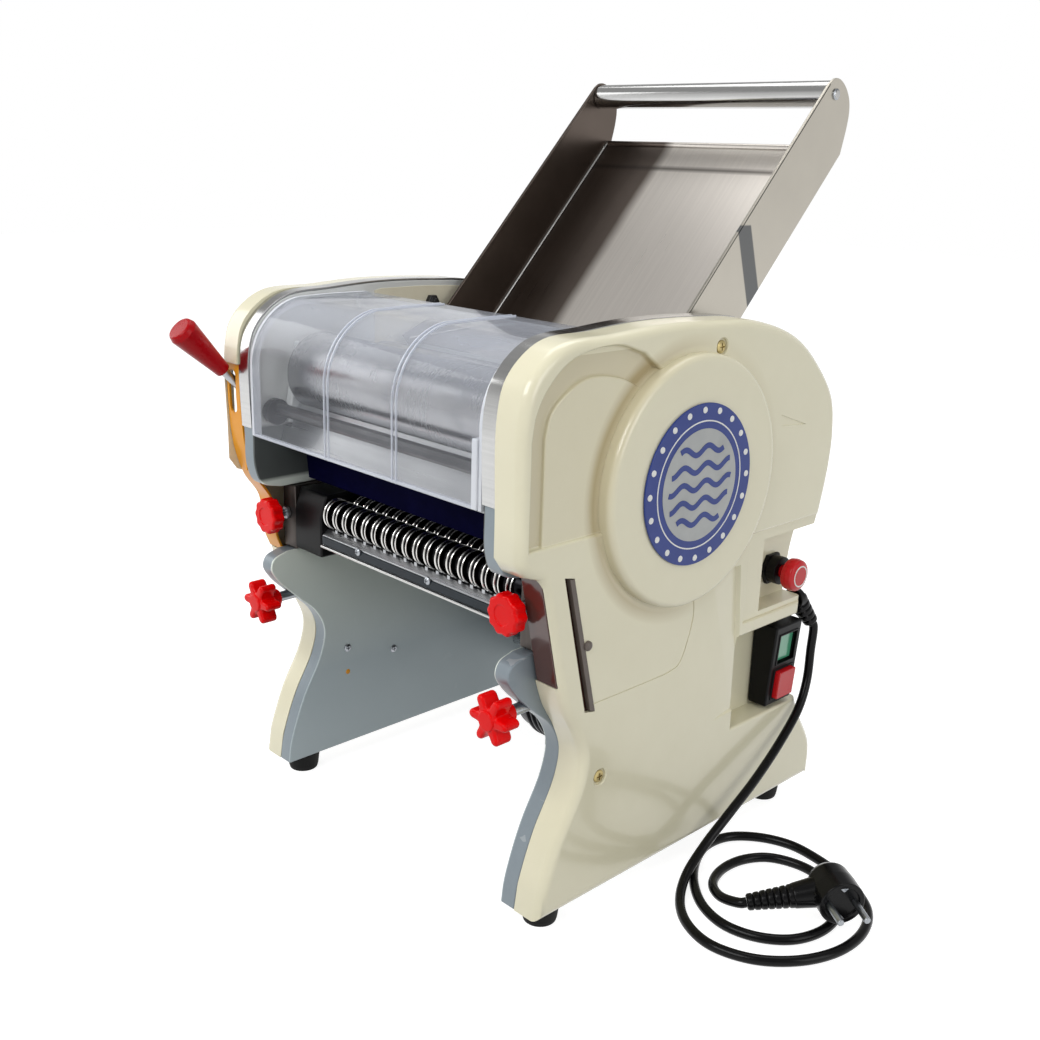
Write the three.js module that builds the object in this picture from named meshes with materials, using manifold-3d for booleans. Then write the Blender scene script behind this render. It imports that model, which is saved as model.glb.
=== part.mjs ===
// Electric pasta maker with a thickness lever, a cutter cassette and a hopper.
// Millimetres. Z is up, the front faces -Y and the switches are on the +X side.
// Outlines are lists of [y, z] in the machine's side view.
import * as THREE from "three";
import { mergeVertices } from "three/addons/utils/BufferGeometryUtils.js";
import Module from "manifold-3d";

const wasm = await Module();
wasm.setup();

// Measures shared by all pieces
const OVERRUN = 6; // how far a cutting tool runs past what it cuts
const GAP = 0.3; // clearance between neighbouring pieces
const MERGE = 1e-4; // vertices nearer than this are one
const STRAIGHT = 1e-3; // turns smaller than this count as none
const HALF = 0.5; // share of a whole
const FAR = 900; // size of a tool that cuts everything on one side
const FULL_TURN = 2 * Math.PI;
const BIG_SIDES = 32;
const MID_SIDES = 16;
const SMALL_SIDES = 10;
const RING_SIDES = 8;

// Side frames and what is bored in them
const FRAME = { inner: 130, outer: 143.3 };
const FOOT_HEIGHT = 16;
const LEG_CURVE = [
  [0, 16], [2, 31], [8, 51], [17, 73], [34, 105], [38, 127], [30, 145],
  [13, 161], [-5, 179], [-11, 190], [-8, 198], [4, 202.5],
];
const BAY = [[52, 203.5], [52, 256.5], [0, 256.5]];
const HEAD_CURVE = [
  [0, 256.5], [-16, 261.5], [-22, 275], [-22.7, 300], [-22.7, 366], [-15.5, 384], [8, 402],
  [52, 406.5], [98, 409], [150, 408], [199, 404], [247, 388], [277, 363], [298, 338], [304, 314],
  [303, 290], [296, 252], [286, 217], [283, 160], [288, 104], [300, 78], [319, 46], [321, 16],
];
const HEAD_SPAN = 2; // points for each span of the smoothed outlines
const STRIP = { clear: 0.3, thick: 1.2, low: 306, rear: 205 };

// Moulded covers
const COVER = { depth: 23.1, wall: 3, round: 8, innerRound: 5 };
const COVER_INNER = FRAME.outer + GAP;
const COVER_FACE = COVER_INNER + COVER.depth;
const COVER_TOE = [0, 16];
const COVER_LEG = [
  [3, 36], [8, 51], [17, 73], [34, 105], [38, 127], [31, 146], [20, 165], [12, 187],
];
const COVER_SHOULDER = [[-5, 261], [-19, 266]];
const COVER_HEAD = [
  [-26, 276], [-26, 300], [-26, 364], [-19, 386], [6, 404.5], [52, 407.5], [98, 410], [150, 409],
  [199, 405], [247, 388.5], [277, 363.5], [298.5, 338], [304.5, 314], [303.5, 290], [296.5, 252],
  [286.5, 217], [283.5, 160], [288.5, 104], [300.5, 78], [319.5, 46], [321, 16],
];
const ARCH = { room: 17.9, sill: 283 };
const ARCH_FLOOR = COVER_INNER + ARCH.room;
const ARCH_STEP_SHARE = 0.577; // share of the recess that its step fills
const ARCH_STEP = ARCH_FLOOR + (COVER_FACE - ARCH_FLOOR) * ARCH_STEP_SHARE;
const ARCH_CURVE = [[-18, 350], [-15, 366], [-6, 381], [14, 396], [53, 401], [78, 394]];
const STEP_CURVE = [[-6, 350], [-3, 362], [4, 371], [28, 383], [59, 380], [80, 371]];
const ARCH_END = [[100, 378], [62, 303]];
const ARCH_LOW = 62; // how far back the arch runs along its sill
const DRUM = { y: 130, z: 303, radius: 87, rise: 8.3, round: 7, wall: 3 };
const DRUM_FACE = COVER_FACE + DRUM.rise;
const WINDOW = { lid: 3.3, free: 0.4, deep: 24 };
const WINDOW_OUTER = COVER_FACE - WINDOW.lid;
const SLOT = [[13, 260], [22, 258], [47, 159], [37, 161]];
const BAY_RISE = 3.9; // height of the floors of both switch bays over the frame's side of the cover
const BAY_FLOOR = COVER_INNER + BAY_RISE;
const SWITCH_BAY = { front: 203, low: 95, high: 170 };
const STOP_BAY = { front: 229, low: 184, high: 241 };
const BAY_REAR = 330;
const SCREWS = [[156.5, 391], [55.5, 107.4]];
const SCREW = { recess: 6, depth: 2, post: 9, bore: 2.4 };
const GATE_WINDOW = { free: 1, deep: 12 };
const GATE_WINDOW_OUTER = COVER_FACE - COVER.wall;

// Badge, feet, rods and rear panel
const BADGE = { y: 129, z: 302.5, radius: 55.5, thick: 1.6 };
const FOOT = { x: 145, front: 24, rear: 286, top: 14, bottom: 12, stud: 3.5, rise: 12 };
const STUD_X = 136.6;
const ROD_REACH = 137;
const TIE = { y: 262, z: 60, radius: 6 };
const REST = { y: 199, z: 359, radius: 5 };
const PANEL = { front: 275, thick: 1.5, low: 34, high: 330, reach: 129.6 };

// Guard
const GUARD = { reach: 129.3, thick: 2.5, front: -24, low: 301, arcY: 26, arcZ: 353, arc: 50 };
const GUARD_TOP = [[45, 403.2], [80, 403]];
const GUARD_ARC = { from: 180, to: 98, steps: 9 };
const GUARD_RIBS = [-32, 44];
const GUARD_RIB = { half: 1.3, rise: 0.8, end: 3, depth: 6.5 };
const HINGE = { y: 80, z: 396, rod: 4, barrel: 7 };

// Hopper
const TRAY = { inner: 118.5, outer: 120, thick: 1.5, hem: 3 };
const BAR = { y: 335, z: 559, radius: 10, reach: 118.2, spigot: 3, tip: 122 };
const TRAY_EDGE = { y: 11, z: -38 }; // the floor's upper edge, from the bar's axis
const WALL_END = [
  [-8.5, 8], [-3.5, 11], [2, 11.5], [8, 9.5], [14, 5], [19, -2], [21, -10], [20, -21], [14, -43],
];
const TRAY_FLOOR = [
  [BAR.y + TRAY_EDGE.y, BAR.z + TRAY_EDGE.z], [209, 373], [194, 367.4], [118, 363],
];
const TRAY_WALL = [
  [112, 367], [150, 383], [158.5, 388], ...WALL_END.map(([y, z]) => [BAR.y + y, BAR.z + z]),
  [242, 402.5], [209, 368], [194, 364.6], [118, 358.5],
];
const BOLT = { y: 160, z: 381, radius: 4, head: 7, tip: 114, spacer: 6 };

// Rollers, their bearings and the thickness control
const ROLLER_CENTRE = [32, 346];
const SLIDE_ANGLE = -11.25; // degrees, from +Y towards +Z
const REST_SPACING = 63;
const CLOSE_SPACING = 61;
const ROLLER = { radius: 30, reach: 120.5, journal: 10 };
const BLOCK = { half: 18, flangeIn: 121.5, flangeOut: 129.6, bodyIn: 130, bodyOut: 143 };
const BLOCK_FACE = { front: -20.9, rear: 20, low: -42, high: 20 };
const BLOCK_FREE = 0.4;
const BUSH = { flange: 18, body: 15, flangeIn: 121.5, flangeOut: 129.7, bodyOut: 143 };
const LEVER_CENTRE = [-4, 320];
const LEVER_ANGLE = 135;
const CROSS = { radius: 5, right: 143 };
const CROSS_LEFT = -WINDOW_OUTER;
const CAM = { inner: 122, outer: 128, radius: 10, turn: -123.75 };
const HUB = { radius: 10, inner: -150.8, short: 0.4 };
const LEVER = { x: -155.5, radius: 3.5, start: 6.5, end: 62 };
const GRIP = { start: 38.5, end: 88, thin: 5.8, thick: 11.2, bore: 63, round: 4 };
const GATE = { inner: 145.4, free: 0.7, thick: 2, slotLow: 314, slotHigh: 347, slotHalf: 4.6 };
const GATE_CURVE = [
  [9, 199], [4, 212], [2.5, 231], [-1, 245], [-13, 263], [-21, 288], [-24, 323], [-24, 352],
];
const GATE_LUG = { low: 270, high: 300, rear: -2, thin: 1.4 };

// Gears: pitch radii follow from the teeth and the distances of the axes
const ROLLER_TEETH = 20;
const DRIVE_TEETH = 27;
const PINION_TEETH = 11;
const IDLER_TEETH = 39;
const CUTTER_TEETH = 12;
const TOOTH = { rootShare: 0.6, tipShare: 0.24, rise: 1.5, fall: 2 };
const ROLLER_TOOTH = { rise: 1.9, fall: 2.4 };
const LAYER = { rollerIn: -144.2, rollerOut: -150.2, driveIn: -150.2, driveOut: -157.2 };
const PINION = { inner: -151.4, outer: -157 };
const CUTTER_LAYER = { inner: 144.2, outer: 149.7 };
const SHAFT = { radius: 9, left: -158, right: 162, collar: 12, collarIn: 126 };
const STUD = { radius: 6, tip: 149.4 };

// Belt drive
const BELT = { inner: 152.6, outer: 159.4, thick: 6, free: 0.3 };
const PULLEY = { inner: 151, outer: 161, rim: 1.2, groove: 70, flange: 78 };
const MOTOR = { y: 165, z: 95, radius: 45, left: 10, right: 129.7, boss: 18, step: 3 };
const MOTOR_SHAFT = { radius: 7, deep: 108, frame: 12 };
const SMALL_PULLEY = { groove: 20, flange: 27 };

// Cutter cassette
const CUTTER_FRONT = [20, 241.4];
const CUTTER_REAR = [42, 241.4];
const CUTTER = { ring: 12, core: 9.2, journal: 6, pitch: 12, width: 5.7, rings: 18, first: -86 };
const CUTTER_SHIFT = 6;
const CUTTER_ENDS = { left: -141.7, right: 150, coreLeft: -89.3, coreRight: 130.4 };
const PLATE = { front: 10, rear: 51.6, low: 204, high: 256 };
const LEFT_PLATE = { outer: -142.8, inner: -126 };
const RIGHT_PLATE = { inner: 131, outer: 143 };
const HOUSING = { left: -125.7, right: -90 };
const HOUSING_OUTLINE = [
  [PLATE.front - 1, 206], [PLATE.front - 1, 238], [15, 255], [50, 255], [50, 206],
];
const FRONT_BAR = { left: -89.6, right: 123 };
const FRONT_TAB = { left: 112, right: 130.6, front: 15 };
const FRONT_BAR_OUTLINE = [
  [PLATE.front, 216], [PLATE.front, 225], [15, 229], [21, 228.6], [21, 216],
];
const FINGER = { half: 1.6, low: 226, high: 231, front: 14, rear: 24 };
const GEAR_COVER = { inner: 144.8, skin: 1.4, drop: 21.4, lap: 0.8, fall: 4.6 };
const GEAR_COVER_TOP = ARCH.sill - GEAR_COVER.drop;
const GEAR_COVER_FRONT = [
  [-4.4, GEAR_COVER_TOP], [-2.4, GEAR_COVER_TOP], [14.2, 188.4], [12.2, 188.4],
];
const GEAR_COVER_SIDE = [
  [-4.2, GEAR_COVER_TOP - GEAR_COVER.lap], [50, GEAR_COVER_TOP - GEAR_COVER.fall], [50, 158],
  [35, 158], [21, 188.4], [12.4, 188.4],
];

// Sheet guides and scraper
const SHEET_REACH = 129.6;
const GUIDE_OUTLINE = [[22, 302], [25, 302], [29, 260], [26, 260]];
const SCRAPER_BASE = [[0, 290], [6, 288], [11.4, 305], [5.4, 305]];
const SCRAPER_BLADE = [[5.3, 304.7], [11.3, 304.7], [13, 311.5], [12.7, 322.4], [8, 312]];
const BLADE_REACH = 121;

// Knobs
const ROUND_KNOB = { z: 232.5, radius: 13.4, lobe: 0.9, lobes: 8, front: -12, rear: -2, stud: 3 };
const ROUND_STUD = { collar: 5.4, collarEnd: PLATE.front - GAP, tip: 14 };
const STAR_KNOB = { z: 163, radius: 13.5, lobe: 4.2, lobes: 6, front: -23, rear: -9, stud: 4 };
const STAR_STUD = { collar: 7, collarEnd: -2, tip: 34 };
const KNOB_ROUND = 2.5;
const LOBE_POINTS = 4;

// Switches
const BOX = { front: 249, rear: 283, low: 98, high: 166, rise: 3.3, sunk: 1.7 };
const BOX_TOP = COVER_FACE + BOX.rise; // the face leans out towards its upper end
const BOX_BOTTOM = COVER_FACE - BOX.sunk;
const KEY = { front: 255, rear: 277, deep: 13, travel: 4, free: 0.4 };
const GREEN = { low: 134, high: 158, rise: -1.4 };
const RED = { low: 104, high: 128, rise: 3 };
const STOP = { y: 264, z: 207, body: 11, nut: 13.5, nutHeight: 3.5, sunk: 7.3, stem: 5, bore: 0.9 };
const STOP_HEAD = { radius: 12.8, back: 2.9, rise: 9.3, stemGap: 4.6, dome: 3 };

// Cord, its gland and the plug
const CORD = { radius: 3.6, sides: 8 };
const CORD_STEPS = 78;
const GLAND = { at: [157.5, 290, 178], along: [0.3, 0.5, -0.81], root: 7.5, tip: 4.8, length: 26 };
const GLAND_COLLAR = { start: -4.6, radius: 9 };
const GLAND_RIBS = 5;
const GLAND_RIB = { rise: 1.2, share: 0.5 };
const CORD_ROUTE = [
  [167.5, 303, 133], [170.5, 297, 109], [174, 284, 91], [178.5, 255, 72], [182.5, 217, 52],
  [184, 184, 36], [184, 157, 20.5], [189, 130, 8.5], [203, 107, 3.9], [223, 91, 3.9],
  [247, 85, 3.9], [275, 94, 3.9], [297, 116, 3.9], [309, 145, 3.9], [309, 174, 3.9],
  [299, 198, 3.9], [281, 214, 3.9], [259, 224, 3.9], [236, 230, 3.9], [211, 231, 3.9],
  [188, 221, 3.9], [172, 203, 3.9], [169, 180, 3.9], [178, 156, 3.9], [195, 133, 3.9],
  [217, 116, 3.9], [240, 110, 3.9], [263, 116, 3.9], [281, 132, 3.9], [289, 156, 3.9],
  [285, 182, 3.9], [271, 201, 3.9], [251, 211, 3.9], [230, 212, 3.9], [210, 203, 3.9],
  [199, 185, 3.9], [197, 163, 3.9], [205, 142, 5.2], [223, 128, 9.5],
];

// Plug: a ribbed relief, a round head and two pins
const PLUG = {
  entry: [243, 130, 14.6], neck: [266, 154, 21], head: [283, 174, 26], along: [0.83, -0.55, -0.06],
};
const RELIEF = { root: 7.5, tip: 4.8, ribs: 6, rise: 1.1, share: 0.45 };
const HEAD = { back: -15, front: 17, radius: 16.5, round: 5, neck: 9, throat: 12 };
const PIN = { radius: 2.4, gap: 9.5, length: 19 };

const FREE_PIECES = ["power_cord", "plug"];

// Vectors and small helpers
const X_AXIS = new THREE.Vector3(1, 0, 0);
const Y_AXIS = new THREE.Vector3(0, 1, 0);
const Z_AXIS = new THREE.Vector3(0, 0, 1);
const radians = (degrees) => THREE.MathUtils.degToRad(degrees);
const polar = (centre, radius, angle) => [
  centre[0] + radius * Math.cos(angle),
  centre[1] + radius * Math.sin(angle),
];
const distance = (a, b) => Math.hypot(b[0] - a[0], b[1] - a[1]);
const direction = (a, b) => Math.atan2(b[1] - a[1], b[0] - a[0]);

// A geometry as a closed solid, with its faces turned outwards.
function solidOf(geometry) {
  const plain = geometry.index ? geometry.toNonIndexed() : geometry.clone();
  plain.deleteAttribute("normal");
  plain.deleteAttribute("uv");
  const merged = mergeVertices(plain, MERGE);
  const source = merged.index.array;
  const corners = [];
  for (let i = 0; i < source.length; i += 3) {
    const [a, b, c] = [source[i], source[i + 1], source[i + 2]];
    if (a !== b && b !== c && c !== a) corners.push(a, b, c);
  }
  const build = (triVerts) =>
    new wasm.Manifold(
      new wasm.Mesh({ numProp: 3, vertProperties: merged.attributes.position.array, triVerts }),
    );
  const made = build(new Uint32Array(corners));
  if (made.volume() > 0) return made;
  for (let i = 0; i < corners.length; i += 3) {
    [corners[i + 1], corners[i + 2]] = [corners[i + 2], corners[i + 1]];
  }
  return build(new Uint32Array(corners));
}

// A solid as a geometry with flat normals.
function geometryOf(solid) {
  const mesh = solid.getMesh();
  const positions = new Float32Array(mesh.numVert * 3);
  for (let i = 0; i < mesh.numVert; i += 1) {
    const start = i * mesh.numProp;
    positions.set(mesh.vertProperties.subarray(start, start + 3), i * 3);
  }
  const geometry = new THREE.BufferGeometry();
  geometry.setAttribute("position", new THREE.BufferAttribute(positions, 3));
  geometry.setIndex(new THREE.BufferAttribute(new Uint32Array(mesh.triVerts), 1));
  const flat = geometry.toNonIndexed();
  flat.computeVertexNormals();
  return flat;
}

const join = (...solids) => solids.reduce((whole, next) => whole.add(next));
const cut = (solid, ...tools) => tools.reduce((whole, next) => whole.subtract(next), solid);

// A smooth curve through points, as a list of points.
function smooth(points, span = HEAD_SPAN) {
  const knots = points.map(([a, b]) => new THREE.Vector3(a, b, 0));
  const curve = new THREE.CatmullRomCurve3(knots, false, "centripetal");
  const count = (points.length - 1) * span;
  return curve.getPoints(count).map((p) => [p.x, p.y]);
}

// An open line of points moved sideways, to its left as it runs for a positive distance.
function sideways(points, shift) {
  return points.map((point, i) => {
    const before = points[Math.max(i - 1, 0)];
    const after = points[Math.min(i + 1, points.length - 1)];
    const first = direction(before, i === 0 ? after : point);
    const second = direction(i === points.length - 1 ? before : point, after);
    const turn = Math.atan2(Math.sin(second - first), Math.cos(second - first)) * HALF;
    return polar(point, shift / Math.cos(turn), first + turn + FULL_TURN / 4);
  });
}

// A closed outline moved inwards; the outline runs clockwise in [y, z].
function inset(outline, shift) {
  const count = outline.length;
  return outline.map((point, i) => {
    const first = direction(outline[(i + count - 1) % count], point);
    const second = direction(point, outline[(i + 1) % count]);
    const turn = Math.atan2(Math.sin(second - first), Math.cos(second - first)) * HALF;
    return polar(point, shift / Math.cos(turn), first + turn - FULL_TURN / 4);
  });
}

// The outline without the points that lie on a straight run, because a cap can't hold them.
function withoutStraights(outline) {
  const count = outline.length;
  return outline.filter((point, i) => {
    const before = outline[(i + count - 1) % count];
    const after = outline[(i + 1) % count];
    const turn = direction(point, after) - direction(before, point);
    return Math.abs(Math.sin(turn)) > STRAIGHT;
  });
}

function shapeOf(outline) {
  return new THREE.Shape(withoutStraights(outline).map(([a, b]) => new THREE.Vector2(a, b)));
}

// An outline in [y, z] made into a slab between two values of x.
function slab(outline, x0, x1) {
  const depth = Math.abs(x1 - x0);
  const geometry = new THREE.ExtrudeGeometry(shapeOf(outline), { depth, bevelEnabled: false });
  geometry.applyMatrix4(new THREE.Matrix4().makeBasis(Y_AXIS, Z_AXIS, X_AXIS));
  return solidOf(geometry.translate(Math.min(x0, x1), 0, 0));
}

// The same with the rim at x1 rounded; the side at x0 stays flat.
function softSlab(outline, x0, x1, round, segments = 2) {
  const away = Math.sign(x1 - x0);
  const start = x0 - away * (round + OVERRUN);
  const geometry = new THREE.ExtrudeGeometry(shapeOf(outline), {
    depth: Math.abs(x1 - start) - 2 * round,
    bevelEnabled: true,
    bevelThickness: round,
    bevelSize: round,
    bevelOffset: -round,
    bevelSegments: segments,
  });
  geometry.applyMatrix4(new THREE.Matrix4().makeBasis(Y_AXIS, Z_AXIS, X_AXIS));
  const solid = solidOf(geometry.translate(Math.min(start, x1) + round, 0, 0));
  const back = x0 - away * FAR;
  return cut(solid, block(back, x0, -FAR, FAR, -FAR, FAR));
}

function block(x0, x1, y0, y1, z0, z1) {
  const size = [x1 - x0, y1 - y0, z1 - z0].map(Math.abs);
  const geometry = new THREE.BoxGeometry(...size);
  return solidOf(geometry.translate((x0 + x1) * HALF, (y0 + y1) * HALF, (z0 + z1) * HALF));
}

// A turned piece about the line through (y, z) along x; the profile is a list of [radius, x].
function turned([y, z], profile, sides = MID_SIDES) {
  const points = profile.map(([radius, x]) => new THREE.Vector2(radius, x));
  const geometry = new THREE.LatheGeometry(points, sides);
  geometry.rotateZ(-FULL_TURN / 4);
  return solidOf(geometry.translate(0, y, z));
}

const bar = (centre, radius, x0, x1, sides) =>
  turned(centre, [[0, x0], [radius, x0], [radius, x1], [0, x1]], sides);

// A turned piece about any line; the profile is a list of [radius, distance along the line].
function turnedAlong(start, along, profile, sides = MID_SIDES) {
  const points = profile.map(([radius, way]) => new THREE.Vector2(radius, way));
  const geometry = new THREE.LatheGeometry(points, sides);
  const heading = new THREE.Vector3(...along).normalize();
  geometry.applyQuaternion(new THREE.Quaternion().setFromUnitVectors(Y_AXIS, heading));
  return solidOf(geometry.translate(...start));
}

const axleAlong = (start, along, radius, from, to, sides) =>
  turnedAlong(start, along, [[0, from], [radius, from], [radius, to], [0, to]], sides);

// Positions that follow from the measures
const slideHeading = radians(SLIDE_ANGLE);
const REAR_AXIS = polar(ROLLER_CENTRE, REST_SPACING, slideHeading);
const SHAFT_AXIS = [DRUM.y, DRUM.z];
const travel = REST_SPACING - CLOSE_SPACING;
const camThrow = travel / (2 * Math.sin(radians(22.5)));
const cutterModule = distance(CUTTER_FRONT, CUTTER_REAR) / CUTTER_TEETH;
const pitchRadius = (teeth) => teeth * cutterModule * HALF;
const drivePitch =
  (distance(REAR_AXIS, SHAFT_AXIS) * DRIVE_TEETH) / (DRIVE_TEETH + PINION_TEETH);
const pinionPitch = distance(REAR_AXIS, SHAFT_AXIS) - drivePitch;

// The idler's axis touches the circles of the roller's gear and the cutter's gear.
function idlerAxis() {
  const whole = distance(REAR_AXIS, CUTTER_REAR);
  const near = pitchRadius(DRIVE_TEETH) + pitchRadius(IDLER_TEETH);
  const far = pitchRadius(CUTTER_TEETH) + pitchRadius(IDLER_TEETH);
  const along = (near * near - far * far + whole * whole) / (2 * whole);
  const aside = Math.sqrt(near * near - along * along);
  const heading = direction(REAR_AXIS, CUTTER_REAR);
  const foot = polar(REAR_AXIS, along, heading);
  return polar(foot, aside, heading - FULL_TURN / 4);
}
const IDLER_AXIS = idlerAxis();

// A point given along and across the way of the sliding blocks.
function onSlide(along, across) {
  const base = polar(ROLLER_CENTRE, along, slideHeading);
  return polar(base, across, slideHeading + FULL_TURN / 4);
}

const slideOutline = (front, rear, low, high) => [
  onSlide(front, low),
  onSlide(rear, low),
  onSlide(rear, high),
  onSlide(front, high),
];

// Gears
function gearOutline(centre, teeth, pitch, phase, rise, fall) {
  const outline = [];
  const step = FULL_TURN / teeth;
  for (let i = 0; i < teeth; i += 1) {
    const middle = phase + i * step;
    const root = step * TOOTH.rootShare * HALF;
    const tip = step * TOOTH.tipShare * HALF;
    outline.push(polar(centre, pitch - fall, middle - root));
    outline.push(polar(centre, pitch + rise, middle - tip));
    outline.push(polar(centre, pitch + rise, middle + tip));
    outline.push(polar(centre, pitch - fall, middle + root));
  }
  return outline;
}

// The phase of gear B that meshes with gear A, seen from A in the given direction.
function matingPhase(phaseA, teethA, teethB, heading) {
  const place = (heading - phaseA) / (FULL_TURN / teethA);
  return heading + FULL_TURN * HALF - (HALF - place) * (FULL_TURN / teethB);
}

const rollerPhase = slideHeading;
const drivePhase = direction(REAR_AXIS, SHAFT_AXIS);
const cutterDrivePhase = direction(REAR_AXIS, IDLER_AXIS);
const idlerPhase = matingPhase(
  cutterDrivePhase, DRIVE_TEETH, IDLER_TEETH, direction(REAR_AXIS, IDLER_AXIS),
);
const rearCutterPhase = matingPhase(
  idlerPhase, IDLER_TEETH, CUTTER_TEETH, direction(IDLER_AXIS, CUTTER_REAR),
);
const frontCutterPhase = matingPhase(
  rearCutterPhase, CUTTER_TEETH, CUTTER_TEETH, direction(CUTTER_REAR, CUTTER_FRONT),
);

function gear(centre, teeth, pitch, phase, x0, x1, bore, rise = TOOTH.rise, fall = TOOTH.fall) {
  const body = slab(gearOutline(centre, teeth, pitch, phase, rise, fall), x0, x1);
  if (!bore) return body;
  const low = Math.min(x0, x1) - OVERRUN;
  const high = Math.max(x0, x1) + OVERRUN;
  return cut(body, bar(centre, bore + GAP, low, high, MID_SIDES));
}

// Outlines of frame and cover
const headLine = smooth(HEAD_CURVE);
const frameOutline = [...smooth(LEG_CURVE), ...BAY.slice(0, -1), ...headLine];
const coverOutline = [COVER_TOE, ...smooth(COVER_LEG), ...COVER_SHOULDER, ...smooth(COVER_HEAD)];

function bored(side, centre, radius, sides = MID_SIDES) {
  const from = side * (FRAME.inner - OVERRUN);
  const to = side * (FRAME.outer + OVERRUN);
  return bar(centre, radius + GAP, Math.min(from, to), Math.max(from, to), sides);
}

function blind(side, centre, radius) {
  const from = side * (FRAME.inner - OVERRUN);
  const to = side * (ROD_REACH + GAP);
  return bar(centre, radius + GAP, Math.min(from, to), Math.max(from, to), SMALL_SIDES);
}

function sideFrame(side) {
  const body = slab(frameOutline, side * FRAME.inner, side * FRAME.outer);
  const rear = BLOCK.half + BLOCK_FREE + travel;
  const free = BLOCK.half + BLOCK_FREE;
  const window = slab(
    slideOutline(-free, rear, -free, free),
    side * (FRAME.inner - OVERRUN),
    side * (FRAME.outer + OVERRUN),
  );
  const tools = [
    window,
    bored(side, REAR_AXIS, BUSH.body),
    bored(side, SHAFT_AXIS, SHAFT.radius),
    bored(side, LEVER_CENTRE, CROSS.radius, SMALL_SIDES),
    blind(side, [TIE.y, TIE.z], TIE.radius),
    blind(side, [REST.y, REST.z], REST.radius),
    blind(side, [HINGE.y, HINGE.z], HINGE.rod),
    blind(side, [BOLT.y, BOLT.z], BOLT.radius),
  ];
  for (const y of [FOOT.front, FOOT.rear]) {
    const at = [side * STUD_X, y, 0];
    tools.push(axleAlong(at, [0, 0, 1], FOOT.stud + GAP, 0, FOOT_HEIGHT + FOOT.rise + GAP,
      SMALL_SIDES));
  }
  const knobStart = [side * STUD_X, 0, STAR_KNOB.z];
  tools.push(
    axleAlong(knobStart, [0, 1, 0], STAR_KNOB.stud + GAP, -FAR * HALF, STAR_STUD.tip + GAP,
      SMALL_SIDES),
  );
  return cut(body, ...tools);
}

function rightFrame() {
  const frame = cut(sideFrame(1), bored(1, [MOTOR.y, MOTOR.z], MOTOR_SHAFT.frame));
  const stud = bar(IDLER_AXIS, STUD.radius, FRAME.outer - OVERRUN, STUD.tip, MID_SIDES);
  const collar = bar(IDLER_AXIS, STUD.radius * 2, FRAME.outer - OVERRUN,
    CUTTER_LAYER.inner - GAP, MID_SIDES);
  return join(frame, stud, collar);
}

function rimStrip(side) {
  const above = headLine.findIndex(([, z]) => z > STRIP.low);
  const [below, next] = [headLine[above - 1], headLine[above]];
  const share = (STRIP.low - below[1]) / (next[1] - below[1]);
  const start = [below[0] + (next[0] - below[0]) * share, STRIP.low];
  const line = [start, ...headLine.slice(above).filter(([y, z]) => z > STRIP.low && y < STRIP.rear)];
  const low = sideways(line, STRIP.clear);
  const high = sideways(line, STRIP.clear + STRIP.thick);
  return slab([...low, ...high.reverse()], side * FRAME.inner, side * FRAME.outer);
}

// The hollow body of a cover, with its arched recess
function coverShell(side, drum) {
  const wall = COVER.wall;
  const outer = softSlab(coverOutline, side * COVER_INNER, side * COVER_FACE, COVER.round);
  const cavity = softSlab(
    inset(coverOutline, wall), side * (COVER_INNER - GAP), side * (COVER_FACE - wall),
    COVER.innerRound, 1,
  );
  const archLine = (curve, grow) => [
    [curve[0][0] - grow, ARCH.sill - grow],
    ...sideways(smooth(curve), grow),
    [ARCH_END[0][0], ARCH_END[0][1] + grow],
    [ARCH_END[1][0] + grow, ARCH_END[1][1]],
    [ARCH_LOW + grow, ARCH.sill - grow],
  ];
  const far = side * (COVER_FACE + OVERRUN);
  const recess = cut(
    slab(archLine(ARCH_CURVE, 0), side * ARCH_FLOOR, far),
    slab(archLine(STEP_CURVE, 0), side * (ARCH_FLOOR - GAP), side * ARCH_STEP),
  );
  const back = slab(archLine(ARCH_CURVE, wall), side * (ARCH_FLOOR - wall), far);
  let body = cut(outer, recess);
  let hollow = cut(cavity, back);
  if (drum) {
    const { radius, round } = drum;
    const shoulder = round * (1 - Math.SQRT1_2);
    body = join(body, turned(SHAFT_AXIS, [
      [0, COVER_INNER], [radius, COVER_INNER], [radius, DRUM_FACE - round],
      [radius - shoulder, DRUM_FACE - shoulder], [radius - round, DRUM_FACE], [0, DRUM_FACE],
    ], BIG_SIDES));
    hollow = join(hollow, bar(SHAFT_AXIS, radius - drum.wall, COVER_INNER - GAP,
      DRUM_FACE - drum.wall, BIG_SIDES));
  }
  return { body, hollow };
}

function screwPost(side, centre) {
  const start = side * (COVER_INNER + GAP);
  const end = side * (COVER_FACE - COVER.wall * HALF);
  return bar(centre, SCREW.post, Math.min(start, end), Math.max(start, end), MID_SIDES);
}

function screwHole(side, centre) {
  const deep = side * (COVER_FACE - SCREW.depth);
  const start = side * (COVER_INNER - OVERRUN);
  const far = side * (COVER_FACE + OVERRUN);
  return join(
    bar(centre, SCREW.recess, Math.min(deep, far), Math.max(deep, far), MID_SIDES),
    bar(centre, SCREW.bore, Math.min(start, far), Math.max(start, far), SMALL_SIDES),
  );
}

// A recess for a switch, open to the rear, and the room that its walls need inside the cover
function switchRecess(bay) {
  const far = COVER_FACE + OVERRUN;
  return block(BAY_FLOOR, far, bay.front, BAY_REAR, bay.low, bay.high);
}

function recessRoom(bay) {
  const wall = COVER.wall;
  return block(BAY_FLOOR - wall, FAR, bay.front - wall, BAY_REAR, bay.low - wall, bay.high + wall);
}

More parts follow.
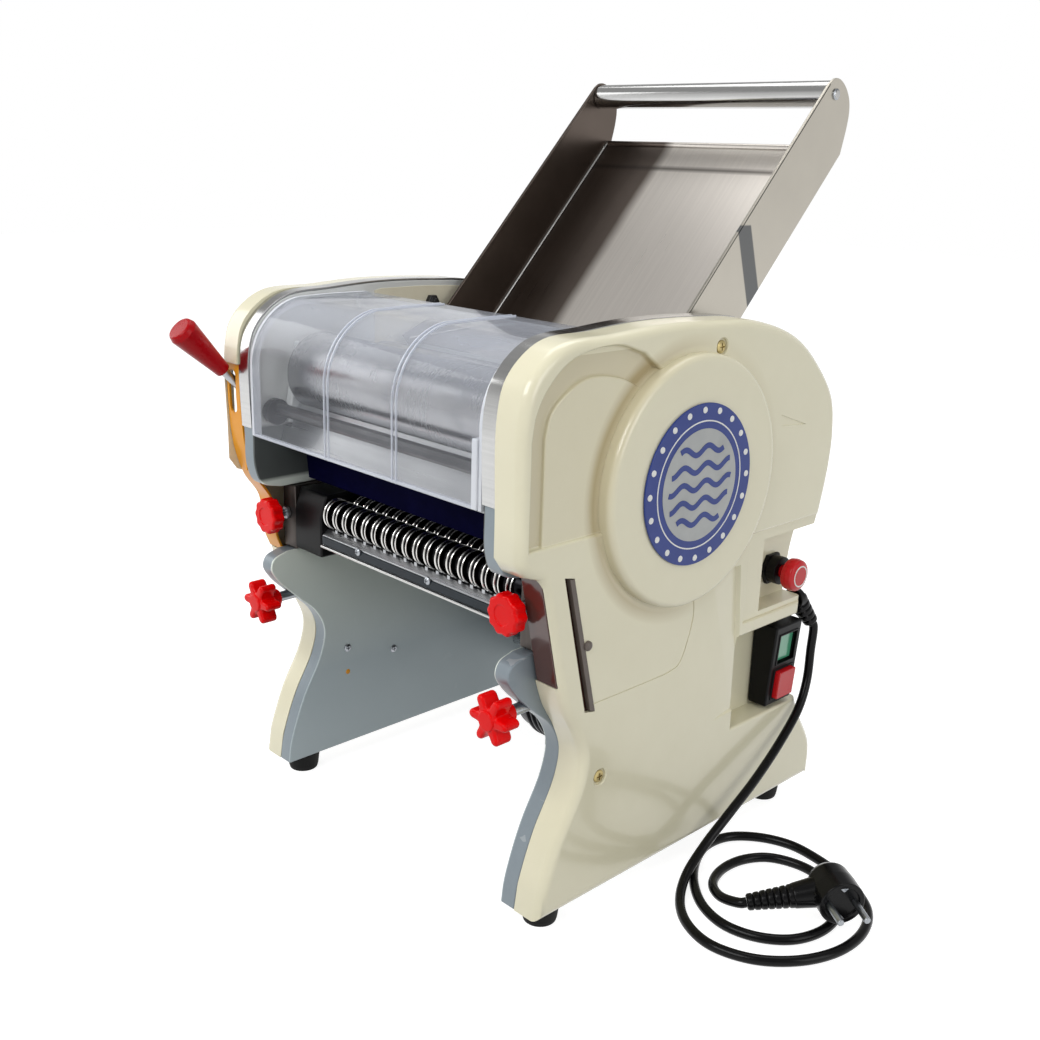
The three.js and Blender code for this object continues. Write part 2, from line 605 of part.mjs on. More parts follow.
function rightCover() {
  const { body, hollow } = coverShell(1, DRUM);
  const rooms = [SWITCH_BAY, STOP_BAY].map(recessRoom);
  const posts = SCREWS.map((centre) => screwPost(1, centre));
  const shell = cut(body, cut(hollow, ...rooms, ...posts));
  const window = block(
    COVER_INNER - OVERRUN, WINDOW_OUTER, GUARD.front - OVERRUN, WINDOW.deep,
    GEAR_COVER_FRONT[2][1] - WINDOW.free, GEAR_COVER_FRONT[0][1] + WINDOW.free,
  );
  return cut(
    shell, ...[SWITCH_BAY, STOP_BAY].map(switchRecess), window,
    slab(SLOT, COVER_FACE - COVER.round, COVER_FACE + OVERRUN),
    ...SCREWS.map((centre) => screwHole(1, centre)),
  );
}

function leftCover() {
  const { body, hollow } = coverShell(-1, null);
  const posts = SCREWS.map((centre) => screwPost(-1, centre));
  const shell = cut(body, cut(hollow, ...posts));
  const window = block(
    -GATE_WINDOW_OUTER, -COVER_INNER + OVERRUN, GUARD.front - OVERRUN, GATE_WINDOW.deep,
    GATE_CURVE[0][1] - GATE_WINDOW.free, GATE_CURVE.at(-1)[1] + GATE_WINDOW.free,
  );
  return cut(shell, window, ...SCREWS.map((centre) => screwHole(-1, centre)));
}

function foot(side, y) {
  const at = [side * FOOT.x, y, 0];
  const pad = axleAlongCone(at, FOOT.bottom, FOOT.top, 0, FOOT_HEIGHT - GAP);
  const stud = axleAlong([side * STUD_X, y, 0], [0, 0, 1], FOOT.stud, FOOT_HEIGHT * HALF,
    FOOT_HEIGHT + FOOT.rise, SMALL_SIDES);
  return join(pad, stud);
}

function axleAlongCone(at, low, high, from, to) {
  return turnedAlong(at, [0, 0, 1], [[0, from], [low, from], [high, to], [0, to]], MID_SIDES);
}

const rod = ({ y, z, radius }) => bar([y, z], radius, -ROD_REACH, ROD_REACH, SMALL_SIDES);

function badgePlate() {
  const x = DRUM_FACE + GAP;
  return bar([BADGE.y, BADGE.z], BADGE.radius, x, x + BADGE.thick, BIG_SIDES);
}

// Guard over the rollers
function guardLine(shift) {
  const arc = [];
  for (let i = 0; i <= GUARD_ARC.steps; i += 1) {
    const share = i / GUARD_ARC.steps;
    const angle = radians(GUARD_ARC.from + (GUARD_ARC.to - GUARD_ARC.from) * share);
    arc.push(polar([GUARD.arcY, GUARD.arcZ], GUARD.arc, angle));
  }
  return sideways([[GUARD.front, GUARD.low], ...arc, ...GUARD_TOP], shift);
}

const guardBand = (inner, outer, x0, x1) =>
  slab([...guardLine(outer), ...guardLine(-inner).reverse()], x0, x1);

function clearGuard() {
  const reach = GUARD.reach;
  const shell = guardBand(GUARD.thick, 0, -reach, reach);
  const ribs = GUARD_RIBS.map((x) =>
    guardBand(GUARD.thick * HALF, GUARD_RIB.rise, x - GUARD_RIB.half, x + GUARD_RIB.half),
  );
  const ends = [-1, 1].map((side) =>
    guardBand(GUARD_RIB.depth, 0, side * (reach - GUARD_RIB.end), side * reach),
  );
  const barrel = bar([HINGE.y, HINGE.z], HINGE.barrel, -reach, reach, MID_SIDES);
  const hole = bar([HINGE.y, HINGE.z], HINGE.rod + GAP, -FAR * HALF, FAR * HALF, MID_SIDES);
  return cut(join(shell, ...ribs, ...ends, barrel), hole);
}

// Hopper
function hopperTray() {
  const under = sideways(TRAY_FLOOR, TRAY.thick);
  const floor = slab([...TRAY_FLOOR, ...under.reverse()], -TRAY.outer, TRAY.outer);
  const hem = bar([TRAY_FLOOR[0][0], TRAY_FLOOR[0][1] - TRAY.hem * HALF], TRAY.hem,
    -TRAY.outer, TRAY.outer, SMALL_SIDES);
  const walls = [-1, 1].map((side) => slab(TRAY_WALL, side * TRAY.inner, side * TRAY.outer));
  const reach = TRAY.outer + OVERRUN;
  const holes = [
    bar([BAR.y, BAR.z], BAR.spigot + GAP, -reach, reach, SMALL_SIDES),
    bar([BOLT.y, BOLT.z], BOLT.radius + GAP, -reach, reach, SMALL_SIDES),
  ];
  return cut(join(floor, hem, ...walls), ...holes);
}

function hopperBar() {
  return turned([BAR.y, BAR.z], [
    [0, -BAR.tip], [BAR.spigot, -BAR.tip], [BAR.spigot, -BAR.reach], [BAR.radius, -BAR.reach],
    [BAR.radius, BAR.reach], [BAR.spigot, BAR.reach], [BAR.spigot, BAR.tip], [0, BAR.tip],
  ], MID_SIDES);
}

function hopperBolt(side) {
  const profile = [
    [0, BOLT.tip], [BOLT.head, BOLT.tip], [BOLT.head, TRAY.inner - GAP],
    [BOLT.radius, TRAY.inner - GAP], [BOLT.radius, TRAY.outer + GAP],
    [BOLT.spacer, TRAY.outer + GAP], [BOLT.spacer, FRAME.inner - GAP],
    [BOLT.radius, FRAME.inner - GAP], [BOLT.radius, ROD_REACH], [0, ROD_REACH],
  ].map(([radius, x]) => [radius, side * x]);
  return turned([BOLT.y, BOLT.z], profile, SMALL_SIDES);
}

// Rollers
function roller(centre, left, right) {
  return turned(centre, [
    [0, left], [ROLLER.journal, left], [ROLLER.journal, -ROLLER.reach],
    [ROLLER.radius, -ROLLER.reach], [ROLLER.radius, ROLLER.reach],
    [ROLLER.journal, ROLLER.reach], [ROLLER.journal, right], [0, right],
  ], BIG_SIDES);
}

function bearingBlock(side) {
  const half = BLOCK.half;
  const body = slab(slideOutline(-half, half, -half, half), side * BLOCK.flangeOut,
    side * BLOCK.bodyOut);
  const { front, rear, low, high } = BLOCK_FACE;
  const flange = slab(slideOutline(front, rear, low, high), side * BLOCK.flangeIn,
    side * BLOCK.flangeOut);
  const hole = bar(ROLLER_CENTRE, ROLLER.journal + GAP, -FAR * HALF, FAR * HALF, MID_SIDES);
  return cut(join(body, flange), hole);
}

function rearBush(side) {
  const profile = [
    [BUSH.flange, BUSH.flangeIn], [BUSH.flange, BUSH.flangeOut], [BUSH.body, BUSH.flangeOut],
    [BUSH.body, BUSH.bodyOut], [ROLLER.journal + GAP, BUSH.bodyOut],
    [ROLLER.journal + GAP, BUSH.flangeIn], [BUSH.flange, BUSH.flangeIn],
  ].map(([radius, x]) => [radius, side * x]);
  return turned(REAR_AXIS, profile, MID_SIDES);
}

function adjustingShaft() {
  const camCentre = polar(LEVER_CENTRE, camThrow, radians(CAM.turn));
  return join(
    bar(LEVER_CENTRE, CROSS.radius, CROSS_LEFT, CROSS.right, SMALL_SIDES),
    bar(camCentre, CAM.radius, -CAM.outer, -CAM.inner, MID_SIDES),
    bar(camCentre, CAM.radius, CAM.inner, CAM.outer, MID_SIDES),
  );
}

const leverHeading = [0, Math.cos(radians(LEVER_ANGLE)), Math.sin(radians(LEVER_ANGLE))];
const leverStart = [LEVER.x, ...LEVER_CENTRE];

function thicknessLever() {
  const hubEnd = CROSS_LEFT + HUB.short;
  const hub = bar(LEVER_CENTRE, HUB.radius, hubEnd, HUB.inner, MID_SIDES);
  const stem = axleAlong(leverStart, leverHeading, LEVER.radius, LEVER.start, LEVER.end,
    SMALL_SIDES);
  const hole = bar(LEVER_CENTRE, CROSS.radius + GAP, hubEnd - OVERRUN, HUB.inner + OVERRUN,
    SMALL_SIDES);
  return cut(join(hub, stem), hole);
}

function leverGrip() {
  const { start, end, thin, thick, bore, round } = GRIP;
  const inner = LEVER.radius + GAP;
  return turnedAlong(leverStart, leverHeading, [
    [inner, start], [thin, start], [thick - 1, end - 2 * round], [thick, end - round],
    [thick - round * HALF, end], [0, end], [0, bore], [inner, bore], [inner, start],
  ], MID_SIDES);
}

function leverGate() {
  const front = smooth(GATE_CURVE);
  const rear = sideways(front, -GATE.thick);
  const plate = slab([...front, ...rear.reverse()], -(GATE_WINDOW_OUTER - GATE.free), -GATE.inner);
  const lugFront = GUARD.front + GATE.thick + 1;
  const lug = block(-GATE.inner - GATE_LUG.thin, -GATE.inner + GATE_LUG.thin, lugFront,
    GATE_LUG.rear, GATE_LUG.low, GATE_LUG.high);
  const slot = block(LEVER.x - GATE.slotHalf, LEVER.x + GATE.slotHalf, GUARD.front - OVERRUN,
    GUARD.front + OVERRUN, GATE.slotLow, GATE.slotHigh);
  return cut(join(plate, lug), slot);
}

// Gears and shafts
const rollerPitch = CLOSE_SPACING * HALF;

function frontRollerGear() {
  return gear(ROLLER_CENTRE, ROLLER_TEETH, rollerPitch, rollerPhase, LAYER.rollerOut,
    LAYER.rollerIn, ROLLER.journal, ROLLER_TOOTH.rise, ROLLER_TOOTH.fall);
}

function rearGearCluster() {
  const phase = matingPhase(rollerPhase, ROLLER_TEETH, ROLLER_TEETH, slideHeading);
  const small = gear(REAR_AXIS, ROLLER_TEETH, rollerPitch, phase, LAYER.rollerOut,
    LAYER.rollerIn, 0, ROLLER_TOOTH.rise, ROLLER_TOOTH.fall);
  const large = gear(REAR_AXIS, DRIVE_TEETH, drivePitch, drivePhase, LAYER.driveOut,
    PINION.inner, 0);
  const neck = bar(REAR_AXIS, ROLLER.radius * HALF, LAYER.driveOut, LAYER.rollerIn, MID_SIDES);
  const hole = bar(REAR_AXIS, ROLLER.journal + GAP, -FAR * HALF, 0, MID_SIDES);
  return cut(join(small, large, neck), hole);
}

function countershaft() {
  const phase = matingPhase(drivePhase, DRIVE_TEETH, PINION_TEETH,
    direction(REAR_AXIS, SHAFT_AXIS));
  const collars = [-1, 1].map((side) => {
    const ends = [side * SHAFT.collarIn, side * (FRAME.inner - GAP)];
    return bar(SHAFT_AXIS, SHAFT.collar, Math.min(...ends), Math.max(...ends), MID_SIDES);
  });
  return join(
    bar(SHAFT_AXIS, SHAFT.radius, SHAFT.left, SHAFT.right, MID_SIDES),
    gear(SHAFT_AXIS, PINION_TEETH, pinionPitch, phase, PINION.outer, PINION.inner, 0),
    ...collars,
  );
}

function bigPulley() {
  const { inner, outer, rim, groove, flange } = PULLEY;
  const bore = SHAFT.radius + GAP;
  return turned(SHAFT_AXIS, [
    [bore, inner], [flange, inner], [flange, inner + rim], [groove, inner + rim],
    [groove, outer - rim], [flange, outer - rim], [flange, outer], [bore, outer], [bore, inner],
  ], BIG_SIDES);
}

function motorPulley() {
  const { inner, outer, rim } = PULLEY;
  const { groove, flange } = SMALL_PULLEY;
  const { radius, deep } = MOTOR_SHAFT;
  return turned([MOTOR.y, MOTOR.z], [
    [0, deep], [radius, deep], [radius, inner], [flange, inner], [flange, inner + rim],
    [groove, inner + rim], [groove, outer - rim], [flange, outer - rim], [flange, outer],
    [0, outer],
  ], MID_SIDES);
}

// The outline of a belt round both pulleys at a distance from their grooves
function beltOutline(lift) {
  const big = PULLEY.groove + lift;
  const small = SMALL_PULLEY.groove + lift;
  const centres = [SHAFT_AXIS, [MOTOR.y, MOTOR.z]];
  const heading = direction(centres[0], centres[1]);
  const lean = Math.acos((big - small) / distance(centres[0], centres[1]));
  const outline = [];
  const arcs = [[centres[0], big, heading + lean, heading + FULL_TURN - lean, BIG_SIDES],
    [centres[1], small, heading - lean, heading + lean, SMALL_SIDES]];
  for (const [centre, radius, from, to, steps] of arcs) {
    for (let i = 0; i <= steps; i += 1) {
      outline.push(polar(centre, radius, from + ((to - from) * i) / steps));
    }
  }
  return outline;
}

function driveBelt() {
  const outer = slab(beltOutline(BELT.free + BELT.thick), BELT.inner, BELT.outer);
  const inner = slab(beltOutline(BELT.free * 3), BELT.inner - OVERRUN, BELT.outer + OVERRUN);
  return cut(outer, inner);
}

function motor() {
  const { y, z, radius, left, right, boss, step } = MOTOR;
  const body = turned([y, z], [
    [0, left], [radius - step, left], [radius, left + step], [radius, right - step],
    [radius - step, right], [0, right],
  ], BIG_SIDES);
  const base = block(left + boss, right, y - radius * HALF, y + radius * HALF,
    z - radius - step, z);
  const hole = bar([y, z], MOTOR_SHAFT.radius + GAP, MOTOR_SHAFT.deep - GAP, right + OVERRUN,
    MID_SIDES);
  return cut(join(body, base), hole);
}

const cutterDriveGear = () =>
  gear(REAR_AXIS, DRIVE_TEETH, pitchRadius(DRIVE_TEETH), cutterDrivePhase, CUTTER_LAYER.inner,
    CUTTER_LAYER.outer, ROLLER.journal);

const idlerGear = () =>
  gear(IDLER_AXIS, IDLER_TEETH, pitchRadius(IDLER_TEETH), idlerPhase, CUTTER_LAYER.inner,
    CUTTER_LAYER.outer, STUD.radius);

function cutterShaft(centre, shift, phase) {
  const { ring, core, journal, pitch, width, rings, first } = CUTTER;
  const ends = CUTTER_ENDS;
  const profile = [[0, ends.left], [journal, ends.left], [journal, ends.coreLeft],
    [core, ends.coreLeft]];
  for (let i = 0; i < rings; i += 1) {
    const x = first + shift + i * pitch;
    profile.push([core, x], [ring, x], [ring, x + width], [core, x + width]);
  }
  profile.push([core, ends.coreRight], [journal, ends.coreRight], [journal, ends.right],
    [0, ends.right]);
  const wheel = gear(centre, CUTTER_TEETH, pitchRadius(CUTTER_TEETH), phase,
    CUTTER_LAYER.inner, CUTTER_LAYER.outer, 0);
  return join(turned(centre, profile, RING_SIDES), wheel);
}

// Cutter cassette
function plateBores(left, right) {
  const tools = [CUTTER_FRONT, CUTTER_REAR].map((centre) =>
    bar(centre, CUTTER.journal + GAP, left - OVERRUN, right + OVERRUN, MID_SIDES),
  );
  const side = Math.sign(left + right);
  tools.push(axleAlong([side * STUD_X, 0, ROUND_KNOB.z], [0, 1, 0], ROUND_KNOB.stud + GAP,
    -OVERRUN, ROUND_STUD.tip + GAP, SMALL_SIDES));
  return tools;
}

function endPlate(left, right) {
  const { front, rear, low, high } = PLATE;
  return cut(block(left, right, front, rear, low, high), ...plateBores(left, right));
}

function leftHousing() {
  const body = slab(HOUSING_OUTLINE, HOUSING.left, HOUSING.right);
  const bores = [CUTTER_FRONT, CUTTER_REAR].map((centre) =>
    bar(centre, CUTTER.journal + GAP, HOUSING.left - OVERRUN, HOUSING.right + OVERRUN,
      MID_SIDES),
  );
  return cut(body, ...bores);
}

function frontBar() {
  const beam = slab(FRONT_BAR_OUTLINE, FRONT_BAR.left, FRONT_BAR.right);
  const [, , , top, bottom] = FRONT_BAR_OUTLINE;
  const tab = block(FRONT_TAB.left, FRONT_TAB.right, FRONT_TAB.front, top[0], bottom[1], top[1]);
  const fingers = [];
  for (let i = 0; i + 1 < CUTTER.rings; i += 1) {
    const end = CUTTER.first + i * CUTTER.pitch + CUTTER.width;
    const x = end + (CUTTER.pitch - CUTTER.width) * HALF;
    fingers.push(block(x - FINGER.half, x + FINGER.half, FINGER.front, FINGER.rear, FINGER.low,
      FINGER.high));
  }
  return join(beam, tab, ...fingers);
}

function gearCover() {
  const outer = WINDOW_OUTER - WINDOW.free;
  return join(
    slab(GEAR_COVER_FRONT, GEAR_COVER.inner, outer),
    slab(GEAR_COVER_SIDE, outer - GEAR_COVER.skin, outer),
  );
}

const sheetGuide = () => slab(GUIDE_OUTLINE, -SHEET_REACH, SHEET_REACH);

const frontScraper = () =>
  join(
    slab(SCRAPER_BASE, -SHEET_REACH, SHEET_REACH),
    slab(SCRAPER_BLADE, -BLADE_REACH, BLADE_REACH),
  );

// Knobs turn about lines that run front to back.
function lobedKnob(side, knob, stud) {
  const outline = [];
  const count = knob.lobes * LOBE_POINTS;
  for (let i = 0; i < count; i += 1) {
    const angle = (FULL_TURN * i) / count;
    const radius = knob.radius + knob.lobe * Math.cos(knob.lobes * angle);
    outline.push([radius * Math.cos(angle), radius * Math.sin(angle)]);
  }
  const geometry = new THREE.ExtrudeGeometry(shapeOf(outline), {
    depth: knob.rear - knob.front - 2 * KNOB_ROUND,
    bevelEnabled: true,
    bevelThickness: KNOB_ROUND,
    bevelSize: KNOB_ROUND,
    bevelOffset: -KNOB_ROUND,
    bevelSegments: 1,
  });
  geometry.rotateX(FULL_TURN / 4);
  geometry.translate(side * STUD_X, knob.rear - KNOB_ROUND, knob.z);
  const stem = turnedAlong([side * STUD_X, 0, knob.z], [0, 1, 0], [
    [0, knob.front + KNOB_ROUND], [knob.stud, knob.front + KNOB_ROUND], [knob.stud, knob.rear - 1],
    [stud.collar, knob.rear - 1], [stud.collar, stud.collarEnd], [knob.stud, stud.collarEnd],
    [knob.stud, stud.tip], [0, stud.tip],
  ], SMALL_SIDES);
  return join(solidOf(geometry), stem);
}

// Switches
function prism(outline, y0, y1) {
  const depth = y1 - y0;
  const geometry = new THREE.ExtrudeGeometry(shapeOf(outline), { depth, bevelEnabled: false });
  geometry.rotateX(FULL_TURN / 4);
  return solidOf(geometry.translate(0, y1, 0));
}

function switchBox() {
  const { front, rear, low, high } = BOX;
  const back = BAY_FLOOR + GAP;
  const body = prism([[back, low], [BOX_BOTTOM, low], [BOX_TOP, high], [back, high]], front, rear);
  const pockets = [GREEN, RED].map((key) =>
    block(BOX_TOP - KEY.deep, BOX_TOP + OVERRUN, KEY.front, KEY.rear, key.low, key.high),
  );
  return cut(body, ...pockets);
}

function pushKey(key) {
  const free = KEY.free;
  const back = BOX_TOP - KEY.deep + KEY.travel;
  return block(back, BOX_TOP + key.rise, KEY.front + free, KEY.rear - free, key.low + free,
    key.high - free);
}

function stopBody() {
  const bore = BAY_FLOOR + STOP.bore;
  const nutEnd = BAY_FLOOR + STOP.nutHeight;
  const end = COVER_FACE - STOP.sunk;
  return turned([STOP.y, STOP.z], [
    [STOP.stem + GAP, bore], [0, bore], [0, BAY_FLOOR + GAP],
    [STOP.nut, BAY_FLOOR + GAP], [STOP.nut, nutEnd], [STOP.body, nutEnd],
    [STOP.body, end], [STOP.stem + GAP, end], [STOP.stem + GAP, bore],
  ], MID_SIDES);
}

function stopButton() {
  const { radius, rise, dome } = STOP_HEAD;
  const stemEnd = BAY_FLOOR + STOP.bore + STOP_HEAD.stemGap;
  const back = COVER_FACE - STOP_HEAD.back;
  const face = COVER_FACE + rise;
  return turned([STOP.y, STOP.z], [
    [0, stemEnd], [STOP.stem, stemEnd], [STOP.stem, back], [radius - dome, back],
    [radius, back + dome], [radius, face - dome], [radius - dome, face], [0, face],
  ], MID_SIDES);
}

// A ribbed sleeve that gets thinner from its root to its tip
function ribbedSleeve(at, along, length, { root, tip, ribs, rise, share }) {
  const profile = [[0, 0], [root, 0]];
  for (let i = 1; i <= ribs; i += 1) {
    const radius = root + ((tip - root) * i) / ribs;
    profile.push([radius + rise, (length * (i - share)) / ribs]);
    profile.push([radius, (length * i) / ribs]);
  }
  profile.push([0, length]);
  return turnedAlong(at, along, profile, SMALL_SIDES);
}

function cordGland() {
  const { at, along, root, tip, length } = GLAND;
  const collar = axleAlong(at, [0, 1, 0], GLAND_COLLAR.radius, GLAND_COLLAR.start, 1, MID_SIDES);
  const sleeve = ribbedSleeve(at, along, length, { root, tip, ribs: GLAND_RIBS, ...GLAND_RIB });
  return join(collar, sleeve);
}

const vector = (point) => new THREE.Vector3(...point);

// The cord runs from the gland's tip to the plug's relief.
function powerCord() {
  const out = vector(GLAND.along).normalize();
  const start = vector(GLAND.at).addScaledVector(out, GLAND.length + GAP);
  const after = start.clone().addScaledVector(out, CORD.radius);
  const end = vector(PLUG.entry);
  const inwards = vector(PLUG.neck).sub(end).normalize();
  end.addScaledVector(inwards, -GAP);
  const before = end.clone().addScaledVector(inwards, -CORD.radius);
  const route = [start, after, ...CORD_ROUTE.map(vector), before, end];
  const outline = [];
  for (let i = 0; i < CORD.sides; i += 1) {
    outline.push(polar([0, 0], CORD.radius, (FULL_TURN * i) / CORD.sides));
  }
  return solidOf(new THREE.ExtrudeGeometry(shapeOf(outline), {
    steps: CORD_STEPS,
    bevelEnabled: false,
    extrudePath: new THREE.CatmullRomCurve3(route, false, "centripetal"),
  }));
}

function plug() {
  const entry = vector(PLUG.entry);
  const neck = vector(PLUG.neck);
  const head = vector(PLUG.head);
  const back = entry.clone().sub(neck);
  const relief = ribbedSleeve(PLUG.neck, back.toArray(), back.length(), RELIEF);
  const throat = head.clone().sub(neck);
  const { radius, round, front } = HEAD;
  const body = turnedAlong(PLUG.head, PLUG.along, [
    [0, HEAD.back], [radius - round, HEAD.back], [radius, HEAD.back + round],
    [radius, front], [0, front],
  ], MID_SIDES);
  const link = turnedAlong(PLUG.neck, throat.toArray(), [
    [0, -1], [HEAD.neck, -1], [HEAD.throat, throat.length()], [0, throat.length()],
  ], SMALL_SIDES);
  const aside = vector(PLUG.along).normalize().cross(Z_AXIS).normalize();
  const pins = [-1, 1].map((way) => {
    const at = head.clone().addScaledVector(aside, way * PIN.gap).toArray();
    return axleAlong(at, PLUG.along, PIN.radius, front - 1, front + PIN.length, SMALL_SIDES);
  });
  return join(relief, body, link, ...pins);
}

// Materials
const paint = (color, metalness, roughness) => ({ color, metalness, roughness });
const LOOKS = {
  cream: paint(0xe6dfc4, 0, 0.35),
  casting: paint(0x8d9296, 0.3, 0.5),
  polished: paint(0xc9ccd0, 1, 0.2),
  steel: paint(0xb2b5b8, 1, 0.35),
  dark: paint(0x3a3c40, 0.8, 0.4),
  rubber: paint(0x151515, 0, 0.8),
  black: paint(0x1b1b1d, 0, 0.5),
  red: paint(0xd8141c, 0, 0.35),
  orange: paint(0xe39a2d, 0, 0.5),
  brown: paint(0x4a2a22, 0.3, 0.35),
  navy: paint(0x1c2450, 0.2, 0.4),
  clear: paint(0xdfe4ea, 0, 0.1),
  blue: paint(0x35539c, 0, 0.4),
  green: paint(0x3d8f6a, 0, 0.3),
  bronze: paint(0xb08a4a, 0.9, 0.4),
};

const pieces = [
  ["left_side_frame", () => sideFrame(-1), "casting"],
  ["right_side_frame", rightFrame, "casting"],
  ["left_cover", leftCover, "cream"],
  ["right_cover", rightCover, "cream"],
  ["left_rim_strip", () => rimStrip(-1), "polished"],
  ["right_rim_strip", () => rimStrip(1), "polished"],
  ["front_left_foot", () => foot(-1, FOOT.front), "rubber"],
  ["front_right_foot", () => foot(1, FOOT.front), "rubber"],
  ["rear_left_foot", () => foot(-1, FOOT.rear), "rubber"],
  ["rear_right_foot", () => foot(1, FOOT.rear), "rubber"],
  ["rear_panel", () => block(-PANEL.reach, PANEL.reach, PANEL.front, PANEL.front + PANEL.thick,
    PANEL.low, PANEL.high), "steel"],
  ["lower_tie_rod", () => rod(TIE), "steel"],
  ["hopper_rest_rod", () => rod(REST), "steel"],
  ["badge_plate", badgePlate, "blue"],
  ["clear_guard", clearGuard, "clear"],
  ["guard_hinge_rod", () => rod({ ...HINGE, radius: HINGE.rod }), "steel"],
  ["hopper_tray", hopperTray, "polished"],
  ["hopper_bar", hopperBar, "polished"],
  ["left_hopper_bolt", () => hopperBolt(-1), "steel"],
  ["right_hopper_bolt", () => hopperBolt(1), "steel"],
  ["front_roller", () => roller(ROLLER_CENTRE, LAYER.rollerOut - GAP, BLOCK.bodyOut), "polished"],
  ["rear_roller", () => roller(REAR_AXIS, SHAFT.left, CUTTER_LAYER.outer + GAP), "polished"],
  ["front_roller_gear", frontRollerGear, "dark"],
  ["rear_roller_gears", rearGearCluster, "dark"],
  ["left_bearing_block", () => bearingBlock(-1), "bronze"],
  ["right_bearing_block", () => bearingBlock(1), "bronze"],
  ["left_rear_bush", () => rearBush(-1), "bronze"],
  ["right_rear_bush", () => rearBush(1), "bronze"],
  ["adjusting_shaft", adjustingShaft, "dark"],
  ["thickness_lever", thicknessLever, "steel"],
  ["lever_grip", leverGrip, "red"],
  ["lever_gate", leverGate, "orange"],
  ["countershaft", countershaft, "steel"],
  ["big_pulley", bigPulley, "dark"],
  ["motor_pulley", motorPulley, "dark"],
  ["drive_belt", driveBelt, "rubber"],
  ["motor", motor, "dark"],
  ["cutter_drive_gear", cutterDriveGear, "dark"],
  ["idler_gear", idlerGear, "dark"],
  ["front_cutter_shaft", () => cutterShaft(CUTTER_FRONT, 0, frontCutterPhase), "polished"],
  ["rear_cutter_shaft", () => cutterShaft(CUTTER_REAR, CUTTER_SHIFT, rearCutterPhase), "polished"],
  ["cutter_left_plate", () => endPlate(LEFT_PLATE.outer, LEFT_PLATE.inner), "steel"],
  ["cutter_right_plate", () => endPlate(RIGHT_PLATE.inner, RIGHT_PLATE.outer), "steel"],
  ["cutter_left_housing", leftHousing, "black"],
  ["cutter_front_bar", frontBar, "dark"],
  ["cutter_gear_cover", gearCover, "brown"],
  ["sheet_guide", sheetGuide, "navy"],
  ["front_scraper", frontScraper, "steel"],
  ["left_round_knob", () => lobedKnob(-1, ROUND_KNOB, ROUND_STUD), "red"],
  ["right_round_knob", () => lobedKnob(1, ROUND_KNOB, ROUND_STUD), "red"],
  ["left_star_knob", () => lobedKnob(-1, STAR_KNOB, STAR_STUD), "red"],
  ["right_star_knob", () => lobedKnob(1, STAR_KNOB, STAR_STUD), "red"],
  ["switch_box", switchBox, "black"],
  ["green_button", () => pushKey(GREEN), "green"],
  ["red_button", () => pushKey(RED), "red"],
  ["stop_switch_body", stopBody, "black"],
  ["stop_button", stopButton, "red"],
  ["cord_gland", cordGland, "rubber"],
  ["power_cord", powerCord, "rubber"],
  ["plug", plug, "rubber"],
];

const part = new THREE.Group();
const extent = new THREE.Box3();
for (const [name, build, look] of pieces) {
  const material = new THREE.MeshStandardMaterial(LOOKS[look]);
  const mesh = new THREE.Mesh(geometryOf(build()), material);
  mesh.name = name;
  part.add(mesh);
  if (!FREE_PIECES.includes(name)) extent.expandByObject(mesh);
}

// The origin is the middle of the machine's underside, measured without the free cord.
const middle = extent.getCenter(new THREE.Vector3());
for (const mesh of part.children) {
  mesh.position.set(-middle.x, -middle.y, -extent.min.z);
}

export default part;
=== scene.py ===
import math

import bmesh
import bpy
from mathutils import Matrix, Vector


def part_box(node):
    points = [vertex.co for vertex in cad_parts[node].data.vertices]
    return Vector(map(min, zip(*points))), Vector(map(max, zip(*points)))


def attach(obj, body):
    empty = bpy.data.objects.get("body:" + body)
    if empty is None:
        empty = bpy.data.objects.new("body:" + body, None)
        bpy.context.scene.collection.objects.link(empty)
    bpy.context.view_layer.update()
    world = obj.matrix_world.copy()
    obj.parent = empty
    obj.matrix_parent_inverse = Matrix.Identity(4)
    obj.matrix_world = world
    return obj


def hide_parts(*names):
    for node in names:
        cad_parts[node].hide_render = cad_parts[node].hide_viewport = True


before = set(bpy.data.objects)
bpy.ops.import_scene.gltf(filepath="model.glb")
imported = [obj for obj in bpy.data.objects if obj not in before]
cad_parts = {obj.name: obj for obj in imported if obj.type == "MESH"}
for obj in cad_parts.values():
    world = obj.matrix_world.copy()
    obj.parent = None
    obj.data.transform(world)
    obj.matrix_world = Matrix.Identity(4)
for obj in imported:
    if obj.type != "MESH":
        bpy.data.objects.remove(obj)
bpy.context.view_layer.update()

# The machine is measured in millimetres from its own corner: x across, y to the back, z up.
MM = 0.001
PANEL_HALF, PANEL_FRONT, PANEL_LOW = 129.6, 275, 34
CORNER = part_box("rear_panel")[0] - Vector((-PANEL_HALF, PANEL_FRONT, PANEL_LOW)) * MM
TO_FRAME = Matrix.Translation(CORNER) @ Matrix.Scale(MM, 4)
TURN = 2 * math.pi
ALONG_X, ALONG_Y, ALONG_Z = (Vector(way) for way in ((1, 0, 0), (0, 1, 0), (0, 0, 1)))

# Lines that run across the machine, as (y, z)
SHAFT_AXIS, MOTOR_AXIS, IDLER_AXIS = (130, 303), (165, 95), (57.005, 285.677)
FRONT_AXIS, LEVER_AXIS, HINGE = (32, 346), (-4, 320), (80, 396)
CUTTER_FRONT, CUTTER_REAR = (20, 241.4), (42, 241.4)
TIE_BAR, TRAY_REST, TRAY_BOLT, BAR_AT = (262, 60), (199, 359), (160, 381), (335, 559)

